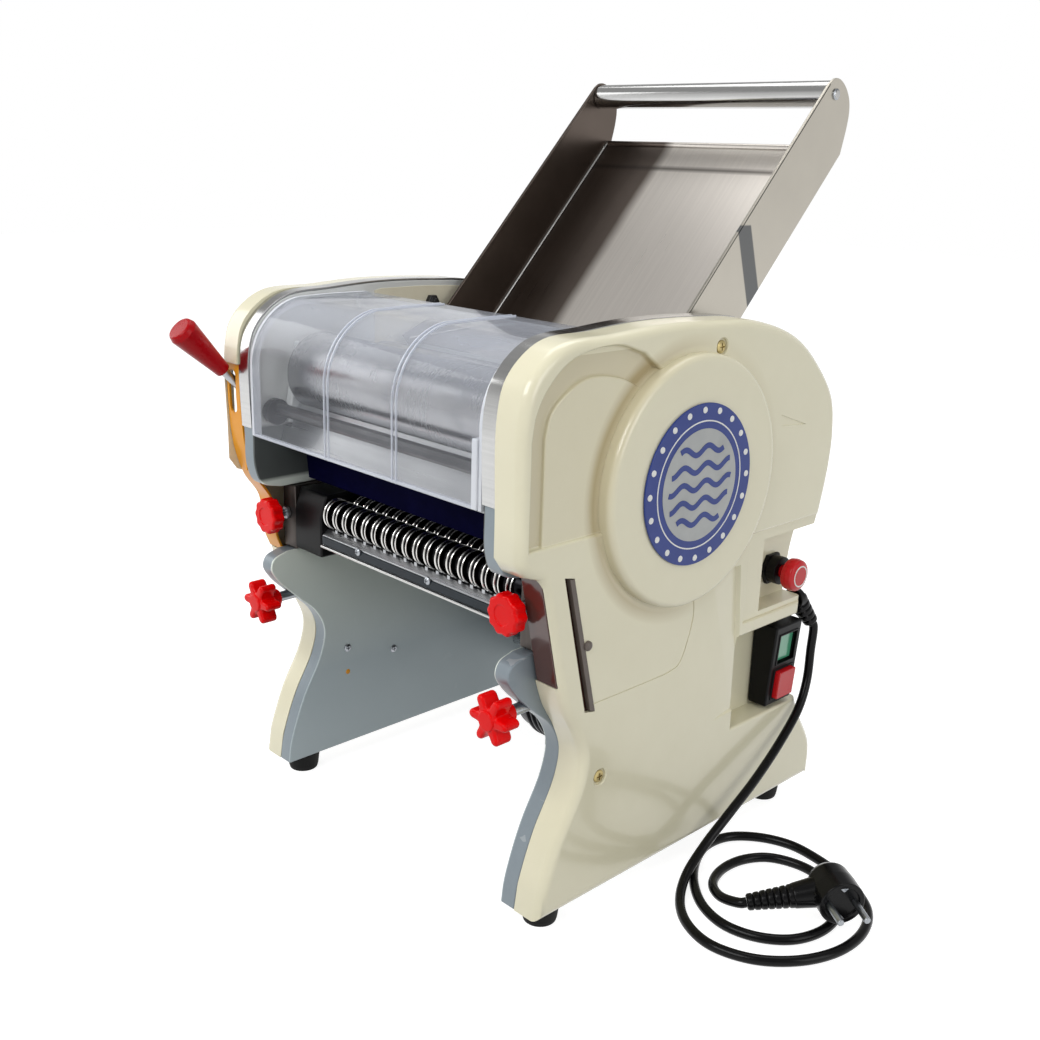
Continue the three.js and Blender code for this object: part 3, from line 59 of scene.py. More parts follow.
# Sizes that several pieces share; FAR takes a cut right through the machine
DRUM_RADIUS, DRUM_FACE = 87, 175
COVER_IN, COVER_OUT, WALL = 143.6, 166.7, 3
FRAME_IN, FRAME_OUT, FRAME_MIDDLE = 130, 143.3, 136.6
ROUND_KNOB_HEIGHT, STAR_KNOB_HEIGHT = 232.5, 163
FAR = 200


def in_frame(point):
    """A point of the machine, in metres in the model's frame."""
    return TO_FRAME @ Vector(point)


def add_to_scene(name, data):
    thing = bpy.data.objects.new(name, data)
    bpy.context.scene.collection.objects.link(thing)
    return thing


# Camera

CAMERA = {"at": (656.5, -502.3, 514.0), "azimuth": 45.87, "elevation": 16.98, "roll": 1.65}
FOCAL_SHARE = 1217.6 / 1040


def make_camera():
    """Stands the camera where the photograph was taken."""
    data = bpy.data.cameras.new("studio_camera")
    data.sensor_width = 36
    data.lens = FOCAL_SHARE * data.sensor_width
    data.clip_start, data.clip_end = 0.05, 20
    camera = add_to_scene("studio_camera", data)
    a, e, r = (math.radians(CAMERA[k]) for k in ("azimuth", "elevation", "roll"))
    back = Vector((math.sin(a) * math.cos(e), -math.cos(a) * math.cos(e), math.sin(e)))
    right = Vector((math.cos(a), math.sin(a), 0))
    up = back.cross(right)
    right, up = right * math.cos(r) + up * math.sin(r), up * math.cos(r) - right * math.sin(r)
    turn = Matrix((right, up, back)).transposed().to_4x4()
    camera.matrix_world = Matrix.Translation(in_frame(CAMERA["at"])) @ turn
    bpy.context.scene.camera = camera


make_camera()
bpy.context.scene.view_settings.view_transform = "Standard"


# Finishes


class Port:
    """An output of a node that takes part in sums and products."""

    def __init__(self, nodes, socket):
        self.nodes, self.socket = nodes, socket

    def _math(self, operation, first, second):
        return self.nodes.node("ShaderNodeMath", {"operation": operation}, {0: first, 1: second})

    def __add__(self, other):
        return self._math("ADD", self, other)

    __radd__ = __add__

    def __sub__(self, other):
        return self._math("SUBTRACT", self, other)

    def __rsub__(self, other):
        return self._math("SUBTRACT", other, self)

    def __mul__(self, other):
        return self._math("MULTIPLY", self, other)

    __rmul__ = __mul__

    def __gt__(self, other):
        return self._math("GREATER_THAN", self, other)

    def clipped(self):
        """The value held between 0 and 1."""
        made = self._math("ADD", self, 0)
        made.socket.node.use_clamp = True
        return made

    def past(self, start, sharpness):
        """A mask that rises from 0 at a start to 1, the sooner the sharper."""
        return ((self - start) * sharpness).clipped()


def tone(red, green, blue):
    """A colour given in the 0 to 255 of a photograph, as a shader's linear colour."""
    share = [v / 255 for v in (red, green, blue)]
    linear = [v / 12.92 if v <= 0.04045 else ((v + 0.055) / 1.055) ** 2.4 for v in share]
    return (*linear, 1)


class Nodes:
    """A tree of nodes, and what adds to it."""

    def __init__(self, tree):
        self.tree = tree

    def node(self, kind, settings, inputs, output=0):
        made = self.tree.nodes.new(kind)
        for key, value in settings.items():
            if key == "stops":
                ramp = made.color_ramp.elements
                while len(ramp) < len(value):
                    ramp.new(0.5)
                for element, (position, color) in zip(ramp, value):
                    element.position, element.color = position, color
            else:
                setattr(made, key, value)
        for key, value in inputs.items():
            self.feed(made.inputs[key], value)
        return Port(self, made.outputs[output]) if made.outputs else None

    def feed(self, socket, value):
        if isinstance(value, Port):
            self.tree.links.new(value.socket, socket)
        else:
            socket.default_value = value


class Finish(Nodes):
    """A material built on one Principled shader."""

    def __init__(self, name, **constants):
        self.material = bpy.data.materials.new(name)
        self.material.use_nodes = True
        super().__init__(self.material.node_tree)
        self.shader = self.tree.nodes["Principled BSDF"]
        for key, value in constants.items():
            self.shader.inputs[key.replace("_", " ")].default_value = value
        self.place = self.node("ShaderNodeTexCoord", {}, {}, "Object")

    def set(self, name, value):
        self.feed(self.shader.inputs[name], value)

    def axes(self, names):
        """The place on the surface, measured along each of the named axes."""
        inputs = {"Vector": self.place}
        return [self.node("ShaderNodeSeparateXYZ", {}, inputs, name) for name in names]

    def stretched(self, scale):
        return self.node("ShaderNodeMapping", {}, {"Vector": self.place, "Scale": scale})

    def noise(self, scale, detail=3, rough=0.5, vector=None):
        inputs = {"Vector": vector or self.place, "Scale": scale, "Detail": detail}
        return self.node("ShaderNodeTexNoise", {}, {**inputs, "Roughness": rough}, "Fac")

    def cells(self, scale):
        inputs = {"Vector": self.place, "Scale": scale}
        return self.node("ShaderNodeTexVoronoi", {}, inputs, "Distance")

    def mix(self, share, first, second):
        """A colour between two others, each a Port or the 0 to 255 of a photograph."""
        made = self.tree.nodes.new("ShaderNodeMix")
        made.data_type = "RGBA"
        for index, value in ((0, share), (6, first), (7, second)):
            self.feed(made.inputs[index], tone(*value) if isinstance(value, tuple) else value)
        return Port(self, made.outputs[2])

    def paint(self, share, first, second):
        self.set("Base Color", self.mix(share, first, second))

    def painted(self):
        """The colour that the finish has so far."""
        return Port(self, self.shader.inputs["Base Color"].links[0].from_socket)

    def bump(self, height, strength, deep):
        inputs = {"Height": height, "Strength": strength, "Distance": deep}
        self.set("Normal", self.node("ShaderNodeBump", {}, inputs))


def moulded(name, base, dark, rough=0.26, coat=0.35, grain=0.06, shine=0.5):
    """Glossy moulded plastic with faint flow marks and a fine grain."""
    finish = Finish(name, Coat_Weight=coat, Coat_Roughness=0.06, IOR=1.48,
                    Specular_IOR_Level=shine)
    flow = finish.noise(9, 4, 0.6)
    wear = finish.noise(70, 5, 0.7)
    finish.paint((flow * 0.8 + wear * 0.25).clipped(), base, dark)
    finish.set("Roughness", rough + (wear - 0.5) * 0.12)
    fine = finish.noise(1500, 2, 0.5) * 0.25 + finish.noise(240, 3, 0.6)
    finish.bump(fine, grain, 0.0004)
    return finish


def brushed(name, base, dark, along, rough=0.22, metallic=1.0, grain=0.12):
    """Metal with drawn lines that run along one direction."""
    finish = Finish(name, Metallic=metallic)
    scale = [420 if i != along else 6 for i in range(3)]
    lines = finish.noise(1.0, 4, 0.7, finish.stretched(scale))
    cloud = finish.noise(14, 4, 0.6)
    finish.paint((lines * 0.5 + cloud * 0.5).clipped(), base, dark)
    finish.set("Roughness", rough + (lines - 0.5) * 0.16 + (cloud - 0.5) * 0.12)
    finish.bump(lines, grain, 0.0002)
    return finish


def turned_steel(name, base, dark, rough=0.2, grain=0.1):
    """Steel turned on a lathe about x, with a thin film of oil."""
    finish = Finish(name, Metallic=1.0)
    rings = finish.noise(1.0, 3, 0.6, finish.stretched((900, 8, 8)))
    film = finish.noise(30, 4, 0.6)
    finish.paint((rings * 0.4 + film * 0.6).clipped(), base, dark)
    finish.set("Roughness", rough + (film - 0.5) * 0.2 + (rings - 0.5) * 0.08)
    finish.bump(rings, grain, 0.00015)
    return finish


def cast_paint(name, base, dark, rough=0.42, metallic=0.25):
    """Painted casting with a faint pebbled skin and small rubbed spots."""
    finish = Finish(name, Metallic=metallic, Coat_Weight=0.12, Coat_Roughness=0.2)
    cloud = finish.noise(11, 5, 0.65)
    pebble = finish.noise(420, 3, 0.6)
    spots = finish.cells(95) > 0.93
    colour = finish.mix((cloud * 0.9 + pebble * 0.15).clipped(), base, dark)
    finish.paint((spots * 0.35).clipped(), colour, (190, 194, 196))
    finish.set("Roughness", rough + (cloud - 0.5) * 0.2)
    finish.bump(pebble + finish.noise(60, 3, 0.5) * 0.6, 0.12, 0.0004)
    return finish


def frame_paint(name, base, dark, inner, pale):
    """Painted casting with painted light on its inner side, lighter up the leg, painted shade
    making its head dark there, and pale paint behind the guard.
    """
    finish = cast_paint(name, base, dark)
    across, height = finish.axes("XZ")
    inside = (across > -0.1362) * (1 - (across > 0.1262))
    # Painted light: the inner faces lighter, more so towards the top of the leg.
    leg_painted_light = finish.mix(height.past(0.09, 9), (172, 184, 187), (238, 246, 234))
    colour = finish.mix(inside * 0.85, finish.painted(), leg_painted_light)
    # Painted shade: the inner side of the head dark.
    colour = finish.mix(height.past(0.262, 300) * inside * 0.9, colour, inner)
    finish.paint(height.past(0.305, 300) * inside, colour, pale)
    return finish


def rubber_like(name, base, dark, rough=0.7, coat=0.0, grain=0.3, shine=0.2):
    """Rubber or soft plastic with a dull uneven skin."""
    finish = Finish(name, Coat_Weight=coat, Coat_Roughness=0.12, Specular_IOR_Level=shine)
    dust = finish.noise(55, 5, 0.7)
    finish.paint(dust, base, dark)
    finish.set("Roughness", rough + (dust - 0.5) * 0.2)
    finish.bump(finish.noise(900, 2, 0.6), grain, 0.0002)
    return finish


def clear_sheet(name, base, alpha, rough=0.06):
    """Clear plastic, seen through, with soft scuffs."""
    finish = Finish(name, IOR=1.49, Coat_Weight=0.6, Coat_Roughness=0.03)
    scuff = finish.noise(1.0, 5, 0.75, finish.stretched((60, 240, 240)))
    haze = finish.noise(12, 4, 0.6)
    finish.paint(haze, base, (214, 220, 232))
    finish.set("Roughness", rough + (scuff > 0.66) * 0.2 + haze * 0.05)
    height, = finish.axes("Z")
    glare = height.past(0.362, 26) * 0.34
    finish.set("Alpha", (alpha + glare + (haze - 0.5) * 0.1 + (scuff > 0.7) * 0.06).clipped())
    finish.bump(haze, 0.05, 0.002)
    return finish


def enamel(name, base, dark, rough=0.35, metallic=0.0):
    """Printed or painted plate."""
    finish = Finish(name, Metallic=metallic, Coat_Weight=0.08, Coat_Roughness=0.15,
                    Specular_IOR_Level=0.25)
    cloud = finish.noise(60, 4, 0.6)
    finish.paint(cloud, base, dark)
    finish.set("Roughness", rough + (cloud - 0.5) * 0.15)
    finish.bump(finish.noise(700, 2, 0.5), 0.08, 0.0002)
    return finish


def sheet_metal(name, bright, dark_reflection, left, right, lip, reflection_streak):
    """Thin mill-finished sheet with painted reflections and shade: a painted dark reflection left
    of a line, a painted shade line at a fold, painted shade on the right wall and a painted dark
    reflection in a slanted streak.
    """
    finish = Finish(name, Metallic=1.0)
    across, back, height = finish.axes("XYZ")
    drawn = finish.noise(1.0, 4, 0.7, finish.stretched((420, 7, 7)))
    cloud = finish.noise(9, 4, 0.6)
    # Painted reflection: the sheet dark left of a line and bright right of it.
    share = ((across - left) * (1 / (right - left)) + (cloud - 0.5) * 0.5).clipped()
    fold = height.past(lip, 400) * (1 - height.past(lip + 0.003, 400))
    sheet = finish.mix(share, finish.mix(cloud, dark_reflection, (112, 100, 92)), bright)
    right_wall = across > 0.1125
    inside = (across > -0.1225) * (1 - right_wall)
    # Painted shade: a dark line at the fold on the inner walls.
    sheet = finish.mix(fold * inside * 0.75, sheet, (60, 54, 50))
    # Painted shade: the right wall darker.
    sheet = finish.mix(right_wall * 0.8, sheet, (186, 181, 168))
    # Painted dark reflection: a slanted streak on the right wall.
    _, start, top = in_frame((0, *reflection_streak))
    slant = back - (top - height) * 0.33
    band = slant.past(start, 900) * (1 - slant.past(start + 0.016, 900))
    below = ((top - height) * 900).clipped()
    sheet = finish.mix(band * below * right_wall * 0.85, sheet, (66, 74, 82))
    finish.paint((drawn * 0.3).clipped(), sheet, (120, 114, 110))
    finish.set("Roughness", 0.3 + (drawn - 0.5) * 0.12 + (cloud - 0.5) * 0.1)
    finish.bump(drawn, 0.1, 0.0002)
    return finish


def ring_steel(name, centre, crest):
    """Dark oiled steel with a painted highlight on the crests of its rings."""
    finish = Finish(name, Metallic=1.0)
    _, middle, height = in_frame((0, *centre))
    down, up = finish.axes("YZ")
    reach = (down - middle) * (down - middle) + (up - height) * (up - height)
    low, high = ((crest - deep) * MM for deep in (0.9, 0.25))
    share = ((reach - low**2) * (1 / (high**2 - low**2))).clipped()
    wear = finish.noise(60, 4, 0.6)
    # Painted highlight: the crests bright, the rest dark.
    finish.paint((share * (1.1 - wear * 0.5)).clipped(), (26, 26, 28), (236, 234, 230))
    finish.set("Roughness", 0.24 + (wear - 0.5) * 0.2)
    finish.bump(wear, 0.08, 0.0002)
    return finish


def relief_cream_painted_shade(name, base, dark, shade):
    """The cream plastic of the right cover, with painted shade in its moulded relief: round the
    drum's foot and in the sunk groove.
    """
    finish = moulded(name, base, dark, 0.24, 0.4)
    across, back, height = finish.axes("XYZ")
    face, middle, centre = in_frame((COVER_OUT, *SHAFT_AXIS))
    reach = (back - middle) * (back - middle) + (height - centre) * (height - centre)
    base_line = (DRUM_RADIUS + 5) * MM
    away = finish.node("ShaderNodeMath", {"operation": "ABSOLUTE"}, {0: reach - base_line**2})
    # Painted shade in a band round the foot of the drum, stronger in front of the drum's axis.
    valley_shade = (1 - away * (1 / (2 * base_line * 0.009))).clipped()
    valley_shade = valley_shade * (0.2 + ((middle - back + 0.02) * 14).clipped() * 0.8)
    # Painted shade where the face is sunk, inside the arch's groove.
    sunk_shade = ((face - 0.0006 - across) * 260).clipped()
    _, front, low = in_frame((0, -17, 284))
    _, rear, high = in_frame((0, 100, 397))
    _, left, base_height = in_frame((0, -15, 368))
    room = (back > front) * (1 - (back > rear)) * (height > low) * (1 - (height > high))
    room = room * (1 - (height - base_height - (back - left) * 1.03 > 0))
    share = (valley_shade * 0.7 + sunk_shade * room * 0.42).clipped() * (across > 0.152)
    finish.paint(share, finish.painted(), shade)
    return finish


LOOKS = {
    "cream": moulded("cream_plastic", (231, 226, 199), (219, 213, 183), 0.24, 0.4),
    # The right cover's cream with painted shade in its relief.
    "relief": relief_cream_painted_shade("relief_plastic_painted_shade", (231, 226, 199), (219, 213, 183),
                           (176, 160, 122)),
    # The casting's lighter inner leg is painted light, and its near-black third colour is painted
    # shade on the head's inner side.
    "casting": frame_paint("grey_casting_painted_light", (146, 156, 162), (116, 127, 134),
                           (20, 26, 34), (208, 210, 208)),
    "polished": brushed("drawn_steel", (208, 208, 206), (160, 160, 160), 0, 0.16),
    # The hopper's sheet has painted reflections and painted shade.
    "hopper": sheet_metal("sheet_steel_painted_reflections", (226, 220, 212), (82, 73, 66), -0.056, -0.044,
                          0.498, (224.8, 466)),
    # The cutter rings carry a painted highlight on their crests.
    "front_rings": ring_steel("front_ring_steel_painted_highlight", CUTTER_FRONT, 12),
    "rear_rings": ring_steel("rear_ring_steel_painted_highlight", CUTTER_REAR, 12),
    "roller": turned_steel("ground_roller", (172, 172, 174), (132, 134, 139), 0.26),
    "steel": brushed("bright_steel", (190, 192, 194), (140, 142, 146), 0, 0.3, 1.0, 0.04),
    "dark": turned_steel("oiled_steel", (84, 84, 86), (42, 42, 44), 0.34),
    "rubber": rubber_like("black_rubber", (16, 16, 16), (30, 30, 30)),
    "black": moulded("black_plastic", (8, 8, 9), (16, 16, 17), 0.34, 0.0, 0.06, 0.16),
    "lead": rubber_like("black_lead", (5, 5, 6), (11, 11, 12), 0.24, 0.03, 0.1, 0.16),
    "red": moulded("red_plastic", (236, 4, 6), (214, 0, 2), 0.26, 0.02, 0.06, 0.16),
    "grip_red": moulded("red_grip_plastic", (182, 4, 16), (150, 0, 10), 0.28, 0.02, 0.06, 0.16),
    "orange": moulded("orange_plastic", (240, 168, 36), (218, 138, 18), 0.3, 0.1, 0.06, 0.3),
    "brown": moulded("brown_panel", (86, 58, 50), (66, 36, 34), 0.16, 0.4),
    "navy": rubber_like("navy_paint", (3, 3, 46), (1, 1, 18), 0.8, 0.0, 0.05, 0.04),
    "clear": clear_sheet("clear_plastic", (214, 217, 224), 0.06),
    "frosted": clear_sheet("frosted_plastic", (242, 243, 245), 0.8, 0.24),
    "rib": clear_sheet("rib_plastic", (230, 234, 244), 0.5, 0.12),
    "blue": enamel("blue_enamel", (52, 70, 142), (42, 58, 122)),
    "silver": enamel("silver_enamel", (176, 178, 176), (150, 152, 152), 0.35, 0.3),
    "green": moulded("green_key_plastic", (96, 176, 138), (60, 140, 104), 0.2, 0.6),
    "red_key": moulded("red_key_plastic", (208, 26, 34), (180, 8, 18), 0.22, 0.1, 0.06, 0.3),
    "bronze": turned_steel("bearing_bronze", (196, 160, 92), (150, 116, 60), 0.35),
    "brass": turned_steel("brass_screw", (206, 190, 138), (142, 124, 76), 0.32),
    "zinc": turned_steel("zinc_screw", (190, 194, 198), (120, 124, 130), 0.3),
    "white": enamel("white_print", (240, 240, 236), (226, 226, 222)),
    "teal": enamel("dark_teal_paint", (22, 34, 42), (10, 18, 24), 0.34, 0.3),
    "plate": brushed("dull_steel", (96, 90, 86), (58, 53, 51), 2, 0.4),
    "pale_block": enamel("pale_block_paint", (206, 208, 208), (180, 184, 186), 0.4, 0.1),
    "strip": enamel("smoked_strip", (112, 102, 94), (84, 76, 72), 0.3),
    "liner": enamel("cream_paint", (222, 216, 196), (204, 197, 172), 0.4),
}


# Shapes


def smooth(points, span=8):
    """A smooth line through points, bent as a centripetal spline."""
    knots = [Vector(p) for p in points]
    knots = [2 * knots[0] - knots[1], *knots, 2 * knots[-1] - knots[-2]]
    line = []
    for a, b, c, d in zip(knots, knots[1:], knots[2:], knots[3:]):
        before, own, after = ((q - p).length ** 0.5 for p, q in ((a, b), (b, c), (c, d)))
        leave = ((b - a) / before - (c - a) / (before + own) + (c - b) / own) * own
        arrive = ((c - b) / own - (d - b) / (own + after) + (d - c) / after) * own
        for i in range(span):
            t = i / span
            line.append(
                b * (2 * t**3 - 3 * t**2 + 1)
                + leave * (t**3 - 2 * t**2 + t)
                + c * (3 * t**2 - 2 * t**3)
                + arrive * (t**3 - t**2)
            )
    line.append(knots[-2])
    return [tuple(p) for p in line]


def heading(a, b):
    return math.atan2(b[1] - a[1], b[0] - a[0])


def polar(centre, radius, angle):
    return (centre[0] + radius * math.cos(angle), centre[1] + radius * math.sin(angle))


def moved_sideways(line, shift):
    """An open line moved to its left as it runs."""
    out = []
    for i, point in enumerate(line):
        before, after = line[max(i - 1, 0)], line[min(i + 1, len(line) - 1)]
        first = heading(before, after if i == 0 else point)
        second = heading(before if i == len(line) - 1 else point, after)
        turn = math.atan2(math.sin(second - first), math.cos(second - first)) / 2
        out.append(polar(point, shift / math.cos(turn), first + turn + TURN / 4))
    return out


def moved_inwards(outline, shift):
    """A closed outline that runs clockwise, moved inwards."""
    out = []
    for i, point in enumerate(outline):
        first = heading(outline[i - 1], point)
        second = heading(point, outline[(i + 1) % len(outline)])
        turn = math.atan2(math.sin(second - first), math.cos(second - first)) / 2
        out.append(polar(point, shift / math.cos(turn), first + turn - TURN / 4))
    return out


def slab(outline, x0, x1):
    """An outline in (y, z) pulled out from x0 to x1."""
    shape = bmesh.new()
    face = shape.faces.new([shape.verts.new((x0, y, z)) for y, z in outline])
    pulled = bmesh.ops.extrude_face_region(shape, geom=[face], use_keep_orig=True)
    corners = [g for g in pulled["geom"] if isinstance(g, bmesh.types.BMVert)]
    bmesh.ops.translate(shape, verts=corners, vec=(x1 - x0, 0, 0))
    bmesh.ops.recalc_face_normals(shape, faces=shape.faces)
    return shape


def block(x0, x1, y0, y1, z0, z1):
    return slab([(y0, z0), (y1, z0), (y1, z1), (y0, z1)], x0, x1)


def bevelled(shape, edges, width, segments):
    """Rounds the given edges of a shape."""
    if edges:
        bmesh.ops.bevel(
            shape, geom=edges, offset=width, offset_type="OFFSET", segments=segments,
            profile=0.5, affect="EDGES", clamp_overlap=False, material=-1,
        )
    return shape


def sharp_edges(shape, angle=35, where=lambda middle: True):
    """The edges whose faces meet at more than an angle and whose middle passes a test."""
    limit = math.radians(angle)
    return [
        e for e in shape.edges
        if len(e.link_faces) == 2 and e.calc_face_angle(0) > limit
        and where((e.verts[0].co + e.verts[1].co) / 2)
    ]


def softened(shape, width, segments=2, angle=35, where=lambda middle: True):
    return bevelled(shape, sharp_edges(shape, angle, where), width, segments)


def face_edges(shape, x, angle=35):
    """The sharp edges that lie in the plane at x."""
    return [e for e in sharp_edges(shape, angle) if all(abs(v.co.x - x) < 0.01 for v in e.verts)]


def turned(profile, start=(0, 0, 0), along=ALONG_X, sides=64):
    """A profile of (radius, distance) spun about a line, closed at both ends."""
    shape = bmesh.new()
    ring = [shape.verts.new((way, radius, 0)) for radius, way in profile]
    edges = [shape.edges.new(pair) for pair in zip(ring, ring[1:])]
    bmesh.ops.spin(
        shape, geom=[*ring, *edges], cent=(0, 0, 0), axis=(1, 0, 0), angle=TURN, steps=sides,
        use_merge=True, use_duplicate=False,
    )
    bmesh.ops.remove_doubles(shape, verts=shape.verts, dist=1e-4)
    bmesh.ops.recalc_face_normals(shape, faces=shape.faces)
    turn = ALONG_X.rotation_difference(Vector(along)).to_matrix().to_4x4()
    shape.transform(Matrix.Translation(Vector(start)) @ turn)
    return shape


def rounded_profile(profile, radii, steps=4):
    """A profile whose inner corners are rounded by the radii given for them."""
    out = [profile[0]]
    for before, point, after, radius in zip(profile, profile[1:], profile[2:], radii):
        here, a, b = Vector(point), Vector(before), Vector(after)
        to_a, to_b = (a - here), (b - here)
        if radius <= 0:
            out.append(point)
            continue
        half = to_a.angle(to_b) / 2
        reach = min(radius / math.tan(half), to_a.length * 0.49, to_b.length * 0.49)
        start, end = here + to_a.normalized() * reach, here + to_b.normalized() * reach
        for i in range(steps + 1):
            t = i / steps
            out.append(tuple(start * (1 - t) ** 2 + here * 2 * t * (1 - t) + end * t**2))
    out.append(profile[-1])
    return out


def stand_in(shape):
    mesh = bpy.data.meshes.new("stand_in")
    shape.to_mesh(mesh)
    return add_to_scene("stand_in", mesh)


def combined(shape, tools, operation="DIFFERENCE"):
    """A shape with other shapes cut from it or joined to it."""
    base = stand_in(shape)
    others = [stand_in(tool) for tool in tools]
    for other in others:
        change = base.modifiers.new("change", "BOOLEAN")
        change.operation, change.solver, change.object = operation, "EXACT", other
    view = bpy.context.evaluated_depsgraph_get()
    mesh = bpy.data.meshes.new_from_object(base.evaluated_get(view))
    result = bmesh.new()
    result.from_mesh(mesh)
    for thing in (base, *others):
        data = thing.data
        bpy.data.objects.remove(thing)
        bpy.data.meshes.remove(data)
    bpy.data.meshes.remove(mesh)
    bmesh.ops.remove_doubles(result, verts=result.verts, dist=0.02)
    bmesh.ops.dissolve_limit(
        result, angle_limit=math.radians(0.5), verts=result.verts, edges=result.edges,
    )
    return result


def piece(name, shapes, look, replaces=(), body="machine", crease=32):
    """Makes one object from shapes given in the machine's millimetres."""
    mesh = bpy.data.meshes.new(name)
    whole = bmesh.new()
    for shape in shapes if isinstance(shapes, (list, tuple)) else [shapes]:
        part = bpy.data.meshes.new("part")
        shape.to_mesh(part)
        whole.from_mesh(part)
        bpy.data.meshes.remove(part)
    whole.transform(TO_FRAME)
    whole.to_mesh(mesh)
    whole.free()
    mesh.shade_smooth()
    mesh.set_sharp_from_angle(angle=math.radians(crease))
    thing = add_to_scene(name, mesh)
    mesh.materials.append(LOOKS[look].material)
    level = thing.modifiers.new("even_shading", "WEIGHTED_NORMAL")
    level.keep_sharp = True
    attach(thing, body)
    if replaces:
        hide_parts(*replaces)
    return thing


def on_both_sides(make):
    """Makes a piece for the left side, where x is below zero, and then for the right."""
    for side, word in ((-1, "left"), (1, "right")):
        make(side, word)


# Cord, plug and strain relief

CORD_RADIUS = 3.6
GLAND_AT, GLAND_WAY, GLAND_LENGTH = Vector((157.5, 290, 178)), Vector((0.3, 0.5, -0.81)), 26
CORD_ROUTE = [
    (167.5, 303, 133), (170.5, 297, 109), (174, 284, 91), (178.5, 255, 72), (182.5, 217, 52),
    (184, 184, 36), (184, 157, 20.5), (189, 130, 8.5), (203, 107, 3.9), (223, 91, 3.9),
    (247, 85, 3.9), (275, 94, 3.9), (297, 116, 3.9), (309, 145, 3.9), (309, 174, 3.9),
    (299, 198, 3.9), (281, 214, 3.9), (259, 224, 3.9), (236, 230, 3.9), (211, 231, 3.9),
    (188, 221, 3.9), (172, 203, 3.9), (169, 180, 3.9), (178, 156, 3.9), (195, 133, 3.9),
    (217, 116, 3.9), (240, 110, 3.9), (263, 116, 3.9), (281, 132, 3.9), (289, 156, 3.9),
    (285, 182, 3.9), (271, 201, 3.9), (251, 211, 3.9), (230, 212, 3.9), (210, 203, 3.9),
    (199, 185, 3.9), (197, 163, 3.9), (205, 142, 5.2), (223, 128, 9.5),
]
PLUG_ENTRY, PLUG_NECK = Vector((243, 130, 14.6)), Vector((266, 154, 21))
PLUG_HEAD, PLUG_WAY = Vector((283, 174, 26)), Vector((0.83, -0.55, -0.06))


def ribbed_sleeve(start, along, length, root, tip, ribs, rise, sides=40):
    """A sleeve with rounded ribs that gets thinner from its root to its tip."""
    profile = [(0, 0), (root, 0)]
    steps = 10
    for i in range(ribs * steps + 1):
        share = i / (ribs * steps)
        wave = math.sin(math.pi * (i % steps) / steps) if i < ribs * steps else 0
        radius = root + (tip - root) * share + rise * min(1, wave * 1.6)
        profile.append((radius, 0.6 + (length - 0.6) * share))
    profile.append((tip - 0.8, length))
    profile.append((0, length))
    return turned(profile, start, along, sides)


def make_cord():
    way = GLAND_WAY.normalized()
    start = GLAND_AT + way * (GLAND_LENGTH + 0.3)
    inwards = (PLUG_NECK - PLUG_ENTRY).normalized()
    end = PLUG_ENTRY - inwards * 0.3
    knots = [start, start + way * CORD_RADIUS, *CORD_ROUTE, end - inwards * CORD_RADIUS, end]
    route = [in_frame(p) for p in smooth(knots, 12)]
    line = bpy.data.curves.new("power_lead", "CURVE")
    line.dimensions = "3D"
    line.bevel_depth, line.bevel_resolution = CORD_RADIUS * MM, 5
    line.use_fill_caps = True
    spline = line.splines.new("POLY")
    spline.points.add(len(route) - 1)
    for point, at in zip(spline.points, route):
        point.co = (*at, 1)
    spline.use_smooth = True
    line.materials.append(LOOKS["lead"].material)
    cord = add_to_scene("power_lead", line)
    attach(cord, "machine")
    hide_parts("power_cord")
    length = sum((b - a).length for a, b in zip(route, route[1:]))
    return cord, route[0], length


def make_gland():
    collar = turned(
        rounded_profile([(0, -4.6), (9, -4.6), (9, 1), (6, 2.2), (0, 2.2)], [0.6, 1.2, 0.4]),
        GLAND_AT, ALONG_Y, 48,
    )
    nut = turned([(0, -4.6), (9.0, -4.6), (9.0, -1.4), (0, -1.4)], GLAND_AT, ALONG_Y, 6)
    sleeve = ribbed_sleeve(GLAND_AT, GLAND_WAY, GLAND_LENGTH, 7.5, 4.8, 5, 1.0)
    return piece("lead_gland", [softened(nut, 0.5), collar, sleeve], "lead", ["cord_gland"])


